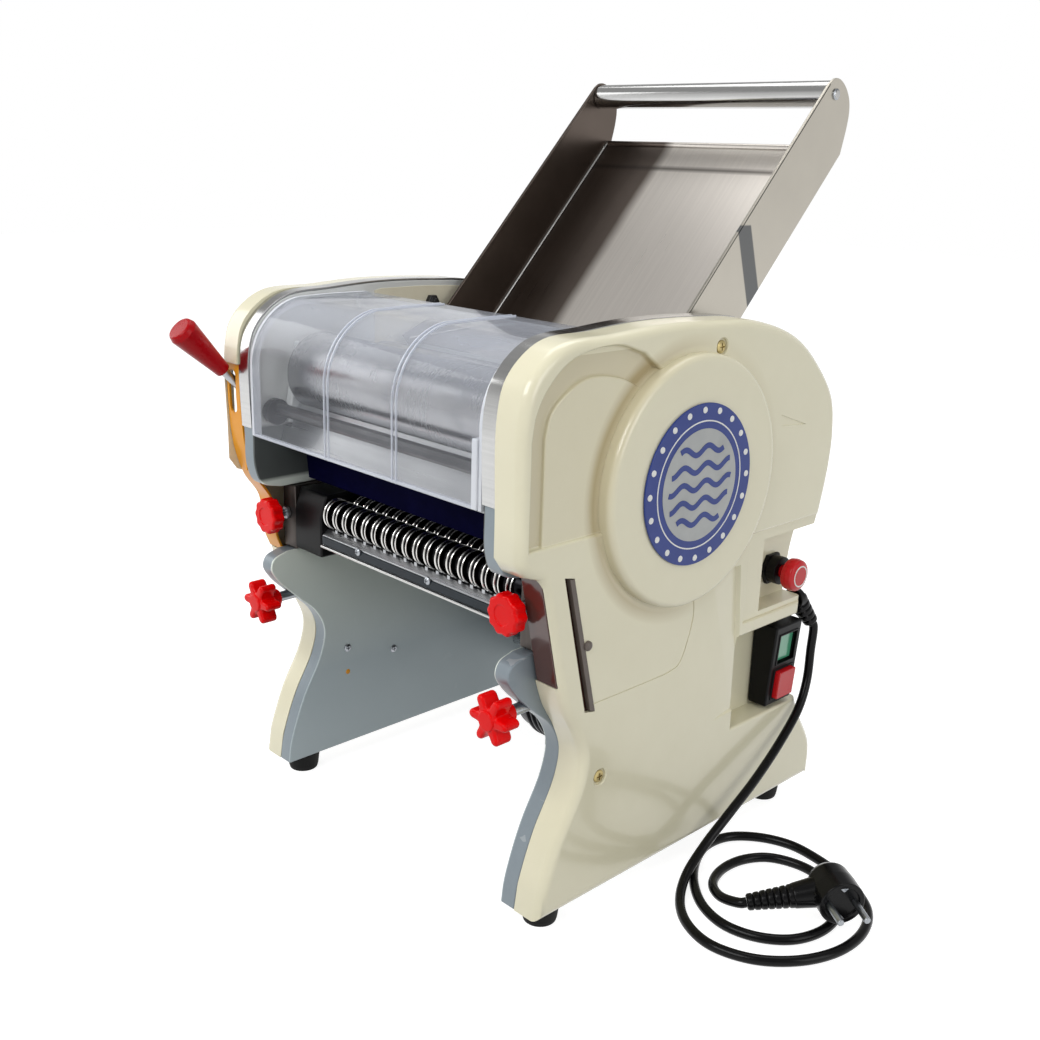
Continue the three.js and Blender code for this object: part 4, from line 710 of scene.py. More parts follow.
def make_plug():
    """An angled round plug with a ribbed relief, a flat-topped grip and two pins."""
    back = PLUG_ENTRY - PLUG_NECK
    relief = ribbed_sleeve(PLUG_NECK, back, back.length, 7.5, 4.8, 7, 0.9)
    throat = PLUG_HEAD - PLUG_NECK
    link = turned(
        rounded_profile([(0, -2), (8.6, -2), (10.5, throat.length * 0.5),
                         (12.5, throat.length), (0, throat.length)], [1.5, 4, 1]),
        PLUG_NECK, throat, 48,
    )
    head = turned(
        rounded_profile([(0, -15), (11.5, -15), (15.6, -9), (16.4, 3), (16.4, 17), (12.4, 17),
                         (12.4, 15.4), (0, 15.4)], [3, 5, 4, 1.2, 0.8, 0.3]),
        PLUG_HEAD, PLUG_WAY, 72,
    )
    way = PLUG_WAY.normalized()
    aside = way.cross(ALONG_Z).normalized()
    up = aside.cross(way).normalized()
    flutes = []
    for side in (-1, 1):
        for step in (-3, 0, 3):
            at = PLUG_HEAD + aside * side * 16.2 + up * step - way * 6
            flutes.append(turned([(0, 0), (0.9, 0.6), (0.9, 15), (0, 15.6)], at, way, 12))
    clips = [
        softened(turned([(0, 9), (3.2, 9), (3.2, 16.9), (0, 16.9)],
                        PLUG_HEAD + up * side * 12.6, way, 4), 0.4)
        for side in (-1, 1)
    ]
    shell = piece("plug_body", [relief, link, head, *flutes], "lead", ["plug"])
    earth = piece("plug_earth_clips", clips, "zinc")
    pin = rounded_profile([(0, 15), (2.4, 15), (2.4, 36), (0, 36)], [0, 1.6])
    pins = [turned(pin, PLUG_HEAD + aside * side * 9.5, way, 32) for side in (-1, 1)]
    return [shell, earth, piece("plug_pins", pins, "zinc")]


lead, lead_exit, LEAD_LENGTH = make_cord()
gland = make_gland()
plug_pieces = make_plug()

# Side frames

LEG_CURVE = [
    (0, 16), (2, 31), (8, 51), (17, 73), (34, 105), (38, 127), (30, 145),
    (13, 161), (-5, 179), (-11, 190), (-8, 198), (4, 202.5),
]
CASSETTE_BAY = [(52, 203.5), (52, 256.5)]
HEAD_CURVE = [
    (0, 256.5), (-16, 261.5), (-22, 275), (-22.7, 300), (-22.7, 366), (-15.5, 384), (8, 402),
    (52, 406.5), (98, 409), (150, 408), (199, 404), (249, 389), (281, 365), (301, 340.5),
    (307, 315), (306.5, 290), (299, 252), (288, 217), (283, 160), (288, 104), (300, 78),
    (319, 46), (321, 16),
]
HEAD_LINE = smooth(HEAD_CURVE)
FRAME_OUTLINE = [*smooth(LEG_CURVE), *CASSETTE_BAY, *HEAD_LINE]
RIM_LOW, RIM_REAR = 306, 205
FOOT_PLACES = (24, 286)
SLIDE = math.radians(-11.25)
REAR_AXIS = polar(FRONT_AXIS, 63, SLIDE)


def bar(centre, radius, x0, x1, sides=64, edge=0.0):
    """A round bar along x."""
    low, high = min(x0, x1), max(x0, x1)
    profile = [(0, low), (radius, low), (radius, high), (0, high)]
    if edge:
        profile = rounded_profile(profile, [edge, edge])
    return turned(profile, (0, *centre), ALONG_X, sides)


def on_slide(along, across):
    """A place measured from the front roller's axis, along its slide and across it."""
    return polar(polar(FRONT_AXIS, along, SLIDE), across, SLIDE + TURN / 4)


def make_side_frame(side, word):
    """A casting with its bores and the window in which a bearing block slides."""
    body = slab(FRAME_OUTLINE, side * FRAME_IN, side * FRAME_OUT)
    softened(body, 1.0, 3, 60)
    window = [on_slide(-18.4, -18.4), on_slide(20.4, -18.4), on_slide(20.4, 18.4),
              on_slide(-18.4, 18.4)]
    reach = (side * (FRAME_IN - 6), side * (FRAME_OUT + 6))
    blind = (side * (FRAME_IN - 6), side * 137.3)
    rods = ((TIE_BAR, 6.3), (TRAY_REST, 5.3), (HINGE, 4.3), ((160, 383), 4.3))
    middle = side * FRAME_MIDDLE
    tools = [
        slab(window, *reach), bar(REAR_AXIS, 15.3, *reach), bar(SHAFT_AXIS, 9.3, *reach),
        bar(LEVER_AXIS, 5.3, *reach, 32), *(bar(at, radius, *blind, 32) for at, radius in rods),
        turned([(0, -450), (4.3, -450), (4.3, 34.3), (0, 34.3)], (middle, 0, STAR_KNOB_HEIGHT),
               ALONG_Y, 24),
        *(turned([(0, 0), (3.8, 0), (3.8, 28.3), (0, 28.3)], (middle, y, 0), ALONG_Z, 24)
          for y in FOOT_PLACES),
    ]
    extras = []
    if side > 0:
        tools.append(bar(MOTOR_AXIS, 12.3, *reach))
        extras = [bar(IDLER_AXIS, 6, FRAME_OUT, 149.4, 48, 0.6),
                  bar(IDLER_AXIS, 12, FRAME_OUT, 143.9, 48)]
    piece(f"{word}_frame_casting", [combined(body, tools), *extras], "casting",
          [f"{word}_side_frame"])


on_both_sides(make_side_frame)


def make_rim_strip(side, word):
    """A bright strip that follows the frame's head, from above its rear bend to the nose."""
    above = next(i for i, p in enumerate(HEAD_LINE) if p[1] > RIM_LOW)
    below, after = HEAD_LINE[above - 1], HEAD_LINE[above]
    share = (RIM_LOW - below[1]) / (after[1] - below[1])
    start = (below[0] + (after[0] - below[0]) * share, RIM_LOW)
    line = [start, *(p for p in HEAD_LINE[above:] if p[1] > RIM_LOW and p[0] < RIM_REAR)]
    outline = [*moved_sideways(line, 0.3), *reversed(moved_sideways(line, 1.5))]
    strip = softened(slab(outline, side * FRAME_IN, side * FRAME_OUT), 0.35, 2, 50)
    piece(f"{word}_bright_rim", strip, "polished", [f"{word}_rim_strip"])


on_both_sides(make_rim_strip)

# Moulded covers

COVER_LEG = [
    (3, 36), (8, 51), (17, 73), (34, 105), (38, 127), (31, 146), (20, 165), (12, 187),
]
COVER_HEAD = [
    (-26, 276), (-26, 300), (-26, 364), (-19, 386), (6, 404.5), (52, 407.5), (98, 410),
    (150, 409), (199, 405), (249, 389.5), (281, 365.5), (301.5, 340.5), (307.5, 315),
    (307, 290), (299.5, 252), (288.5, 217), (283.5, 160), (288.5, 104), (300.5, 78),
    (319.5, 46), (321, 16),
]
COVER_OUTLINE = [(0, 16), *smooth(COVER_LEG, 5), (-5, 261), (-19, 266), *smooth(COVER_HEAD, 9)]
ARCH_CURVE = [(-18, 350), (-15, 366), (-6, 381), (14, 396), (53, 401), (78, 394)]
STEP_CURVE = [(-6, 350), (-3, 362), (4, 371), (28, 383), (59, 380), (80, 371)]
SCREWS = [(156.5, 391), (55.5, 107.4)]
# The arch's floor and inner step are places across, its sill a height
FLOOR, STEP_TOP, SILL = 161.5, 164.5, 283
STEP_LINE = [
    (40, 164.7), (107, 164.7), (122, 165.2), (133.4, 168.5), (141.8, 184.6), (146.3, 204.6),
    (143.3, 221.9),
]
NOTCH = [(232.9, 335.2), (233.9, 326.8), (265.3, 324.2), (250, 329.5)]
SLOT = [(13, 260), (22, 258), (47, 159), (37, 161)]
BAY_FLOOR, BAY_END, WINDOW_LOW = 147.5, 330, 183.4


def arch_line(curve, grow, over=0):
    """The arch's closed outline, grown outwards and run further past the drum."""
    low, reach = SILL - grow - over, 62 + grow + over
    return [
        (curve[0][0] - grow, low), *moved_sideways(smooth(curve, 6), grow),
        (100 + over, 378 + grow + over), (reach, 303), (reach, low),
    ]


def lofted(rings):
    """Closed outlines in (y, z) at rising x, bridged into one solid."""
    shape = bmesh.new()
    loops = []
    for outline, x in rings:
        corners = [shape.verts.new((x, y, z)) for y, z in outline]
        loops.append([shape.edges.new(pair) for pair in zip(corners, corners[1:] + corners[:1])])
    for first, second in zip(loops, loops[1:]):
        bmesh.ops.bridge_loops(shape, edges=first + second)
    for loop in (loops[0], loops[-1]):
        bmesh.ops.contextual_create(shape, geom=loop)
    bmesh.ops.recalc_face_normals(shape, faces=shape.faces)
    return shape


def quarter(radius, steps=4):
    """Points of a quarter round as (rise, run) from flat to upright."""
    angles = [TURN / 4 * i / steps for i in range(steps + 1)]
    return [(radius * (1 - math.cos(a)), radius * math.sin(a)) for a in angles]


def groove_tool(side):
    """The arched groove: rounded along its floor and flared where it meets the face."""
    line = lambda grow: arch_line(ARCH_CURVE, grow)
    rings = [(line(run - 2), side * (FLOOR + rise)) for rise, run in quarter(2)]
    rings += [(line(rise), side * (COVER_OUT - 2 + run)) for rise, run in quarter(2)]
    rings.append((line(2), side * (COVER_OUT + 6)))
    return lofted(rings)


def step_shape(side):
    """The raised step inside the groove."""
    line = lambda grow: arch_line(STEP_CURVE, grow, 3)
    rings = [(line(1.6), side * (FLOOR - 1))]
    rings += [(line(1.6 - run), side * (FLOOR + rise)) for rise, run in quarter(1.6)]
    rings += [(line(-rise), side * (STEP_TOP - 1.3 + run)) for rise, run in quarter(1.3)]
    return lofted(rings)


def flared_block(x0, x1, y0, y1, z0, z1, flare=2.0):
    """A box-shaped tool whose mouth at x1 is flared, reaching a little beyond it."""
    box = lambda grow: [(y0 - grow, z0 - grow), (y1, z0 - grow), (y1, z1 + grow),
                        (y0 - grow, z1 + grow)]
    rings = [(box(0), x0)]
    rings += [(box(rise), x1 - flare + run) for rise, run in quarter(flare)]
    rings.append((box(flare), x1 + 12))
    return lofted(rings)


def prism(outline, y0, y1):
    """An outline in (x, z) pulled out from y0 to y1."""
    shape = slab(outline, y0, y1)
    shape.transform(Matrix(((0, 1, 0, 0), (1, 0, 0, 0), (0, 0, 1, 0), (0, 0, 0, 1))))
    if shape.calc_volume(signed=True) < 0:
        bmesh.ops.reverse_faces(shape, faces=shape.faces)
    return shape


def window_room():
    """The room of the window at the front, with its outer top corner rounded."""
    corner = [(COVER_IN - 6, WINDOW_LOW), (163.5, WINDOW_LOW), (163.5, 262),
              (COVER_IN - 6, 262)]
    outline = rounded_profile(corner, [1.5, 9], 6)
    return prism(outline, -30, 24)


def channel():
    """A shallow trough that slopes down to the rim of the switches' bay."""
    shape = bmesh.new()
    ends = []
    for z, lean in ((110, 0.0), (228, -1.0)):
        y0, y1, y2 = (y + 12 * lean for y in (178, 208, 210.5))
        ends.append([shape.verts.new(p) for p in (
            (COVER_OUT + 0.02, y0, z), (COVER_OUT - 3, y1, z + 2), (COVER_OUT + 0.5, y2, z),
            (COVER_OUT + 2, y1, z), (COVER_OUT + 2, y0, z))])
    for i in range(5):
        j = (i + 1) % 5
        shape.faces.new((ends[0][i], ends[0][j], ends[1][j], ends[1][i]))
    shape.faces.new(reversed(ends[0]))
    shape.faces.new(ends[1])
    bmesh.ops.recalc_face_normals(shape, faces=shape.faces)
    return shape


def make_cover(side, word):
    """A hollow cover with its arch; the right one has the drum, two bays and a window too."""
    inside, face = side * (COVER_IN - 6), side * COVER_OUT
    far = side * (COVER_OUT + 6)
    rim = slab(COVER_OUTLINE, side * COVER_IN, face)
    bevelled(rim, face_edges(rim, face), 7, 7)
    body = combined(rim, [combined(groove_tool(side), [step_shape(side)])])
    roof = side * (COVER_OUT - WALL)
    cavity = slab(moved_inwards(COVER_OUTLINE, WALL), side * (COVER_IN - 1), roof)
    bevelled(cavity, face_edges(cavity, roof), 5, 3)
    back = slab(arch_line(ARCH_CURVE, WALL), side * (FLOOR - WALL), far)
    posts = [bar(c, 9, side * (COVER_IN + 0.3), side * (COVER_OUT - 1), 40) for c in SCREWS]
    if side > 0:
        drum = turned(
            rounded_profile([(0, COVER_IN), (DRUM_RADIUS + 2, COVER_IN),
                             (DRUM_RADIUS + 2, FLOOR), (DRUM_RADIUS, FLOOR + 2.4),
                             (DRUM_RADIUS, DRUM_FACE), (0, DRUM_FACE)], [0, 0, 2, 7], 8),
            (0, *SHAFT_AXIS), ALONG_X, 128,
        )
        body = combined(body, [drum], "UNION")
        room = bar(SHAFT_AXIS, DRUM_RADIUS - WALL, COVER_IN - 1, DRUM_FACE - WALL, 120)
        cavity = combined(combined(cavity, [back]), [room], "UNION")
        bays = ((203, 95, 170), (229, 184, 241))
        tools = [block(BAY_FLOOR - WALL, 900, y - WALL, BAY_END, low - WALL, high + WALL)
                 for y, low, high in bays]
        cuts = [
            *(flared_block(BAY_FLOOR, COVER_OUT, y, BAY_END, low, high) for y, low, high in bays),
            window_room(),
            channel(),
            flared_block(COVER_OUT - 2.6, COVER_OUT, 208, BAY_END, 180, 249),
            slab(SLOT, COVER_OUT - 8, far),
            slab([*smooth(STEP_LINE), *reversed(moved_sideways(smooth(STEP_LINE), 0.9))],
                 COVER_OUT - 0.5, far),
            slab(NOTCH, COVER_OUT - 0.8, far),
        ]
    else:
        tools = [back]
        cuts = [block(-163.7, inside, -30, 12, 198, 353)]
    hollow = combined(cavity, [*tools, *posts])
    mouth = [(0, 2), (6, 2), (6, 0.7), (6.7, 0), (6.7, -6), (0, -6)]
    for centre in SCREWS:
        cuts.append(turned([(r, side * (COVER_OUT - deep)) for r, deep in mouth],
                           (0, *centre), ALONG_X, 48))
        cuts.append(bar(centre, 2.4, inside, far, 24))
    body = combined(body, [hollow, *cuts])
    piece(f"{word}_cover_moulding", body, "relief" if side > 0 else "cream", [f"{word}_cover"],
          crease=40)


make_cover(1, "right")
make_cover(-1, "left")


# Rollers and what carries them


def make_roller(word, centre, left, right):
    """A ground roller whose journals end at left and right."""
    reach, radius, journal = 120.5, 30, 10
    profile = [
        (0, left), (journal, left), (journal, -reach), (radius, -reach), (radius, reach),
        (journal, reach), (journal, right), (0, right),
    ]
    shape = turned(rounded_profile(profile, [0.8, 0.4, 1.4, 1.4, 0.4, 0.8]), (0, *centre),
                   ALONG_X, 144)
    piece(f"{word}_roller_body_steel", shape, "roller", [f"{word}_roller"],
          f"{word}_roller_body")


make_roller("front", FRONT_AXIS, -150.5, 143)
make_roller("rear", REAR_AXIS, -158, 150)


def cross_screw(at, along, radius=4.4, height=2.2):
    """A rounded screw head with a cross in it."""
    profile = rounded_profile([(0, 0), (radius, 0), (radius, height * 0.55),
                               (radius * 0.55, height), (0, height)], [0.15, 0.5, 0.8])
    head = turned(profile, sides=40)
    low, reach, half = height - 1.1, radius * 0.58, radius * 0.11
    head = combined(head, [block(low, height + 1, -half, half, -reach, reach),
                           block(low, height + 1, -reach, reach, -half, half)])
    turn = ALONG_X.rotation_difference(Vector(along)).to_matrix().to_4x4()
    head.transform(Matrix.Translation(Vector(at)) @ turn)
    return head


def make_bearing_block(side, word):
    """The front roller's block: a flange inside the frame and a seat in its window."""
    flange = slab([on_slide(-20.9, -42), on_slide(20, -42), on_slide(20, 20),
                   on_slide(-20.9, 20)], side * 121.5, side * 129.6)
    softened(flange, 1.4, 4)
    seat = slab([on_slide(-18, -18), on_slide(18, -18), on_slide(18, 18), on_slide(-18, 18)],
                side * 129, side * 143)
    hole = bar(FRONT_AXIS, 10.3, side * 110, side * 150)
    body = combined(flange, [softened(seat, 0.6)], "UNION")
    piece(f"{word}_roller_block", combined(body, [hole]), "pale_block",
          [f"{word}_bearing_block"], "carriage")
    heads = [cross_screw((side * 121.6, *on_slide(along, across)), (-side, 0, 0), 3.6, 1.6)
             for along, across in ((-14, 13), (-14, -33), (13, -33))]
    piece(f"{word}_roller_block_screws", heads, "zinc", body="carriage")


on_both_sides(make_bearing_block)


def make_pivot_washer(side, word):
    """The ring round the lever's shaft where it comes out of the frame."""
    profile = rounded_profile([(5.4, 128.2), (7.2, 128.2), (7.2, 129.95), (5.4, 129.95),
                               (5.4, 128.2)], [0.8, 0.1, 0.1])
    ring = turned([(r, side * x) for r, x in profile], (0, *LEVER_AXIS), ALONG_X, 48)
    piece(f"{word}_pivot_washer", ring, "zinc")


on_both_sides(make_pivot_washer)


def make_rear_bush(side, word):
    profile = rounded_profile([
        (10.3, 121.5), (18, 121.5), (18, 129.7), (15, 129.7), (15, 143), (10.3, 143),
        (10.3, 121.5),
    ], [1.2, 0.5, 0.3, 0.6, 0.4])
    shape = turned([(r, side * x) for r, x in profile], (0, *REAR_AXIS), ALONG_X, 72)
    piece(f"{word}_bronze_bush", shape, "bronze", [f"{word}_rear_bush"])


on_both_sides(make_rear_bush)

for rod_name, rod_node, rod_at, rod_radius in (
    ("lower_tie_bar", "lower_tie_rod", TIE_BAR, 6),
    ("tray_rest_bar", "hopper_rest_rod", TRAY_REST, 5),
    ("guard_hinge_pin", "guard_hinge_rod", HINGE, 4),
):
    piece(rod_name, bar(rod_at, rod_radius, -137, 137, 48, 0.8), "steel", [rod_node])

# Cutter cassette

RING_PITCH, RING_COUNT, FIRST_RING, RING_WIDTH = 12, 18, -86, 5.7
PLATE_FRONT, PLATE_REAR, PLATE_LOW, PLATE_HIGH = 10, 51.6, 204, 256


def carried_end(node, x):
    """What a CAD solid has beyond x, as a shape in the machine's millimetres."""
    shape = bmesh.new()
    shape.from_mesh(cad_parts[node].data)
    shape.transform(TO_FRAME.inverted())
    bmesh.ops.remove_doubles(shape, verts=shape.verts, dist=1e-3)
    bmesh.ops.dissolve_limit(shape, angle_limit=math.radians(1), verts=shape.verts,
                             edges=shape.edges)
    made = bmesh.ops.bisect_plane(shape, geom=[*shape.verts, *shape.edges, *shape.faces],
                                  dist=1e-4, plane_co=(x, 0, 0), plane_no=(-1, 0, 0),
                                  clear_outer=True)
    rim = [g for g in made["geom_cut"] if isinstance(g, bmesh.types.BMEdge)]
    bmesh.ops.holes_fill(shape, edges=rim, sides=0)
    bmesh.ops.recalc_face_normals(shape, faces=shape.faces)
    return shape


def make_cutter_shaft(word, centre, shift):
    """A shaft with rounded rings, and the gear that its CAD solid has at the right end."""
    core, ring, journal, width = 9.2, 12, 6, RING_WIDTH
    profile = [(0, -141.7), (journal, -141.7), (journal, -89.3), (core, -89.3)]
    for i in range(RING_COUNT):
        x = FIRST_RING + shift + RING_PITCH * i
        edge = [(core, 0), (ring - 0.8, 0.1), (ring - 0.2, 0.4), (ring, 0.85), (ring - 0.2, 1.35),
                (ring - 1.1, 1.9), (ring - 1.5, width / 2)]
        profile += [(r, x + way) for r, way in edge]
        profile += [(r, x + width - way) for r, way in reversed(edge[:-1])]
    profile += [(core, 130.4), (journal, 130.4), (journal, 149.9), (0, 149.9)]
    rings = turned(profile, (0, *centre), ALONG_X, 56)
    wheel = softened(carried_end(f"{word}_cutter_shaft", 144.0), 0.25, 2, 40)
    piece(f"{word}_cutter_rings", [rings, wheel], f"{word}_rings", [f"{word}_cutter_shaft"],
          f"{word}_cutter")


make_cutter_shaft("front", CUTTER_FRONT, 0)
make_cutter_shaft("rear", CUTTER_REAR, RING_PITCH / 2)


def make_cassette():
    """The cutters' end plates, left block, front bar and comb."""
    bores = [bar(c, 6.3, -FAR, FAR, 40) for c in (CUTTER_FRONT, CUTTER_REAR)]
    for x0, x1, side, word in ((-142.8, -126, -1, "left"), (131, 143, 1, "right")):
        plate = softened(block(x0, x1, PLATE_FRONT, PLATE_REAR, PLATE_LOW, PLATE_HIGH), 1.2, 3)
        stud = turned([(0, -6), (3.3, -6), (3.3, 14.3), (0, 14.3)],
                      (side * FRAME_MIDDLE, 0, ROUND_KNOB_HEIGHT), ALONG_Y, 32)
        piece(f"{word}_end_plate", combined(plate, [*bores, stud]), "plate",
              [f"cutter_{word}_plate"])
    outline = [(PLATE_FRONT - 1, 206), (PLATE_FRONT - 1, 238), (15, 255), (50, 255), (50, 206)]
    housing = softened(slab(outline, -125.7, -90), 1.6, 4)
    piece("left_cutter_block", combined(housing, bores), "black", ["cutter_left_housing"])

    profile = [(PLATE_FRONT, 216), (PLATE_FRONT, 225), (15, 229), (21, 228.6), (21, 216)]
    beam = softened(slab(profile, -89.6, 123), 0.5, 2, 30)
    tab = softened(block(112, 130.6, 15, 21, 216, 228.6), 0.4)
    fingers = []
    for i in range(RING_COUNT - 1):
        x = FIRST_RING + RING_PITCH * i + RING_WIDTH + 3.15
        fingers.append(softened(block(x - 1.6, x + 1.6, 14, 24, 226, 231), 0.5))
    piece("front_bar_steel", [beam, tab, *fingers], "steel", ["cutter_front_bar"])
    face = softened(block(-88.6, 122, 9.1, PLATE_FRONT, 218, 224.4), 0.3)
    piece("front_bar_face", face, "teal")
    lip = softened(block(-89.4, 122.8, 7.4, PLATE_FRONT + 0.2, 215.4, 217.6), 0.9, 4)
    piece("front_bar_lip", lip, "polished")
    heads = [cross_screw((x, 9.2, 223.8), (0, -1, 0), 3, 2.2) for x in (-42, 39)]
    piece("front_bar_screws", heads, "zinc")


make_cassette()


def make_gear_cover():
    low = WINDOW_LOW + 0.4
    front = [(-4.4, 261.6), (-2.4, 261.6), (15.3, low), (13.3, low)]
    side = [(-4.2, 260.8), (50, 257), (50, 158), (35, 158), (22, low), (13.5, low)]
    panel = combined(slab(side, 161.6, 163), [slab(front, 144.8, 163)], "UNION")
    piece("brown_gear_panel", softened(panel, 0.5, 3), "brown", ["cutter_gear_cover"])


make_gear_cover()

# Guard over the rollers


def guard_line(shift, steps=40):
    """The guard's section, from its front hem over the arc to the hinge."""
    angles = [math.radians(180 - 82 * i / steps) for i in range(steps + 1)]
    arc = [polar((26, 353), 50, angle) for angle in angles]
    return moved_sideways([(-24, 301), (-24, 327), *arc, (45, 403.2), (80, 403)], shift)


def guard_band(inner, outer, x0, x1):
    """A strip along the guard's section, from inner below it to outer above it."""
    return slab([*guard_line(outer), *reversed(guard_line(-inner))], x0, x1)


def make_guard():
    reach, inside = 129.3, 126.3
    pin = bar(HINGE, 4.3, -FAR, FAR, 48)
    shell = combined(guard_band(2.5, 0, -inside, inside), [bar(HINGE, 7, -inside, inside, 64)],
                     "UNION")
    piece("clear_guard_sheet", combined(shell, [pin]), "clear", ["clear_guard"], "guard")
    ends = []
    for side in (-1, 1):
        band = softened(guard_band(6.5, 0.3, side * inside, side * reach), 0.5, 2, 60)
        boss = bar(HINGE, 7.2, side * inside, side * reach, 48)
        ends.append(combined(combined(band, [boss], "UNION"), [pin]))
    grip = softened(block(120.6, inside, -25.6, -17.5, 301, 346), 1.2, 3)
    piece("guard_end_bands", [*ends, grip], "frosted", body="guard")
    beads = [guard_band(0.2, 1.0, x + shift - 0.55, x + shift + 0.55)
             for x in (-32, 44) for shift in (-2.1, 2.1)]
    hem = softened(block(-126, 126, -24.9, -20.8, 300.9, 303.1), 0.6)
    piece("guard_ribs", [*beads, hem], "rib", body="guard")


make_guard()


def make_liner(side, word):
    """Painted skin on the inside of a frame, behind the guard."""
    outline = [(92, 358), (92, 402.6), *smooth([(98, 404), (150, 403.5), (197, 399.6),
                                                (238, 386.5), (264, 366)]), (264, 358)]
    skin = softened(slab(outline, side * 129.45, side * 130.05), 0.15, 1, 60)
    piece(f"{word}_inner_skin", skin, "liner")


on_both_sides(make_liner)

# Hopper
TRAY_LINE = rounded_profile([(346, 521), (209, 373), (194, 367.4), (118, 363)], [14, 26], 6)
WALL_TOP = smooth([(326.5, 567), (331.5, 570), (337, 570.5), (343, 568.5), (349, 564),
                   (354, 557), (356, 549), (355, 538), (349, 516)], 5)
TRAY_IN, TRAY_OUT = 118.5, 120


def make_hopper():
    """The tray of bent sheet with its walls and folds, and the bar across its top."""
    line = TRAY_LINE
    floor = slab([*line, *reversed(moved_sideways(line, 1.5))], -118.8, 118.8)
    hem = bar((346, 519.5), 3, -118.8, 118.8, 32)
    holes = [bar(BAR_AT, 3.3, -FAR, FAR, 32), bar(TRAY_BOLT, 4.3, -FAR, FAR, 32)]
    walls, folds = [], []
    outline = [(112, 367), *smooth([(140, 378.6), (150, 383), (158.5, 388)], 4), *WALL_TOP,
               (242, 402.5), (209, 368), (194, 364.6), (118, 358.5)]
    edge = [(158.5, 388), (326.5, 567)]
    for side in (-1, 1):
        wall = softened(slab(outline, side * TRAY_IN, side * TRAY_OUT), 0.3, 2, 50)
        rim = slab([*edge, *reversed(moved_sideways(edge, -2.2))], side * 117.6, side * TRAY_OUT)
        walls += [combined(wall, holes), softened(rim, 0.7, 3)]
        fold = slab([*line, *reversed(moved_sideways(line, -2.2))], side * 116.4, side * 118.6)
        folds.append(bevelled(fold, face_edges(fold, side * 116.4, 50), 1.1, 3))
    piece("hopper_sheet", [floor, hem, *walls], "hopper", ["hopper_tray"])
    piece("hopper_folds", folds, "polished")
    profile = rounded_profile([(0, -122), (3, -122), (3, -118.2), (10, -118.2), (10, 118.2),
                               (3, 118.2), (3, 122), (0, 122)], [0.4, 0.2, 1, 1, 0.2, 0.4])
    tube = turned(profile, (0, *BAR_AT), ALONG_X, 72)
    piece("hopper_handle_tube", tube, "polished", ["hopper_bar"])
    pins = [cross_screw((side * TRAY_OUT, *BAR_AT), (side, 0, 0), 4.2, 1.9) for side in (-1, 1)]
    piece("handle_screws", pins, "zinc")


make_hopper()


def make_tray_bolt(side, word):
    """A hexagon bolt from the tray's wall into the frame, with a collar between them."""
    head = [(0, 114), (7, 114), (7, 118.2), (0, 118.2)]
    shaft = [(0, 118), (4, 118), (4, 120.3), (6, 120.3), (6, 129.7), (4, 129.7), (4, 137),
             (0, 137)]
    head, shaft = (turned([(r, side * x) for r, x in profile], (0, *TRAY_BOLT), ALONG_X, sides)
                   for profile, sides in ((head, 6), (shaft, 48)))
    piece(f"{word}_tray_bolt", [softened(head, 0.6), shaft], "zinc", [f"{word}_hopper_bolt"])


on_both_sides(make_tray_bolt)

# Knobs, lever and gate


def lobed(radius, lobe, lobes, sharpness, count):
    """A closed outline with rounded lobes; a low sharpness makes them broad."""
    out = []
    for i in range(count):
        angle = TURN * i / count
        wave = math.cos(lobes * angle)
        reach = radius + lobe * math.copysign(abs(wave) ** sharpness, wave)
        out.append((reach * math.cos(angle), reach * math.sin(angle)))
    return out


def facing_front(shape, side, z):
    """Turns a shape made along x so that it faces the front, on a knob's line."""
    turn = Matrix.Rotation(-TURN / 4, 4, "Z")
    shape.transform(Matrix.Translation((side * FRAME_MIDDLE, 0, z)) @ turn)
    return shape


def make_round_knob(side, word):
    head = slab(lobed(13.7, 0.6, 10, 1, 120), 2, 12)
    bevelled(head, face_edges(head, 12), 2, 4)
    bevelled(head, face_edges(head, 2), 1.2, 3)
    dish = turned(rounded_profile([(0, 11.2), (7, 11.3), (8, 14), (0, 14)], [1, 0.1]))
    neck = turned(rounded_profile([(0, -0.6), (6.2, -0.6), (6.8, 2.4), (0, 2.4)], [0.8, 0.1]))
    stud = turned([(0, -14), (3, -14), (3, -0.4), (0, -0.4)], sides=32)
    nut = softened(turned([(0, -9.7), (5.4, -9.7), (5.4, -7), (0, -7)], sides=6), 0.4)
    red, bright = ([facing_front(shape, side, ROUND_KNOB_HEIGHT) for shape in shapes]
                   for shapes in ((combined(head, [dish]), neck), (stud, nut)))
    body = f"{word}_round_knob_body"
    piece(f"{word}_round_knob_cap", red, "red", [f"{word}_round_knob"], body)
    piece(f"{word}_round_knob_stud", bright, "zinc", body=body)


def make_star_knob(side, word):
    star = slab(lobed(13.3, 4.3, 6, 0.62, 144), 9, 23)
    for x in (23, 9):
        bevelled(star, face_edges(star, x), 2.2, 4)
    crown = turned(rounded_profile([(0, 22), (7.4, 22), (6.8, 24.2), (0, 24.2)], [0.2, 1.2]))
    neck = turned(rounded_profile([(0, 2), (7, 2), (7, 12), (0, 12)], [1, 0.2]))
    grip = combined(combined(star, [crown], "UNION"), [neck], "UNION")
    stud = turned(rounded_profile([(0, -34), (4, -34), (4, 2.4), (0, 2.4)], [1, 0.1]), sides=40)
    grip, stud = (facing_front(shape, side, STAR_KNOB_HEIGHT) for shape in (grip, stud))
    body = f"{word}_star_knob_body"
    piece(f"{word}_star_knob_grip", grip, "red", [f"{word}_star_knob"], body)
    piece(f"{word}_star_knob_stud", stud, "zinc", body=body)


for knob_side, knob_word in ((-1, "left"), (1, "right")):
    make_round_knob(knob_side, knob_word)
    make_star_knob(knob_side, knob_word)


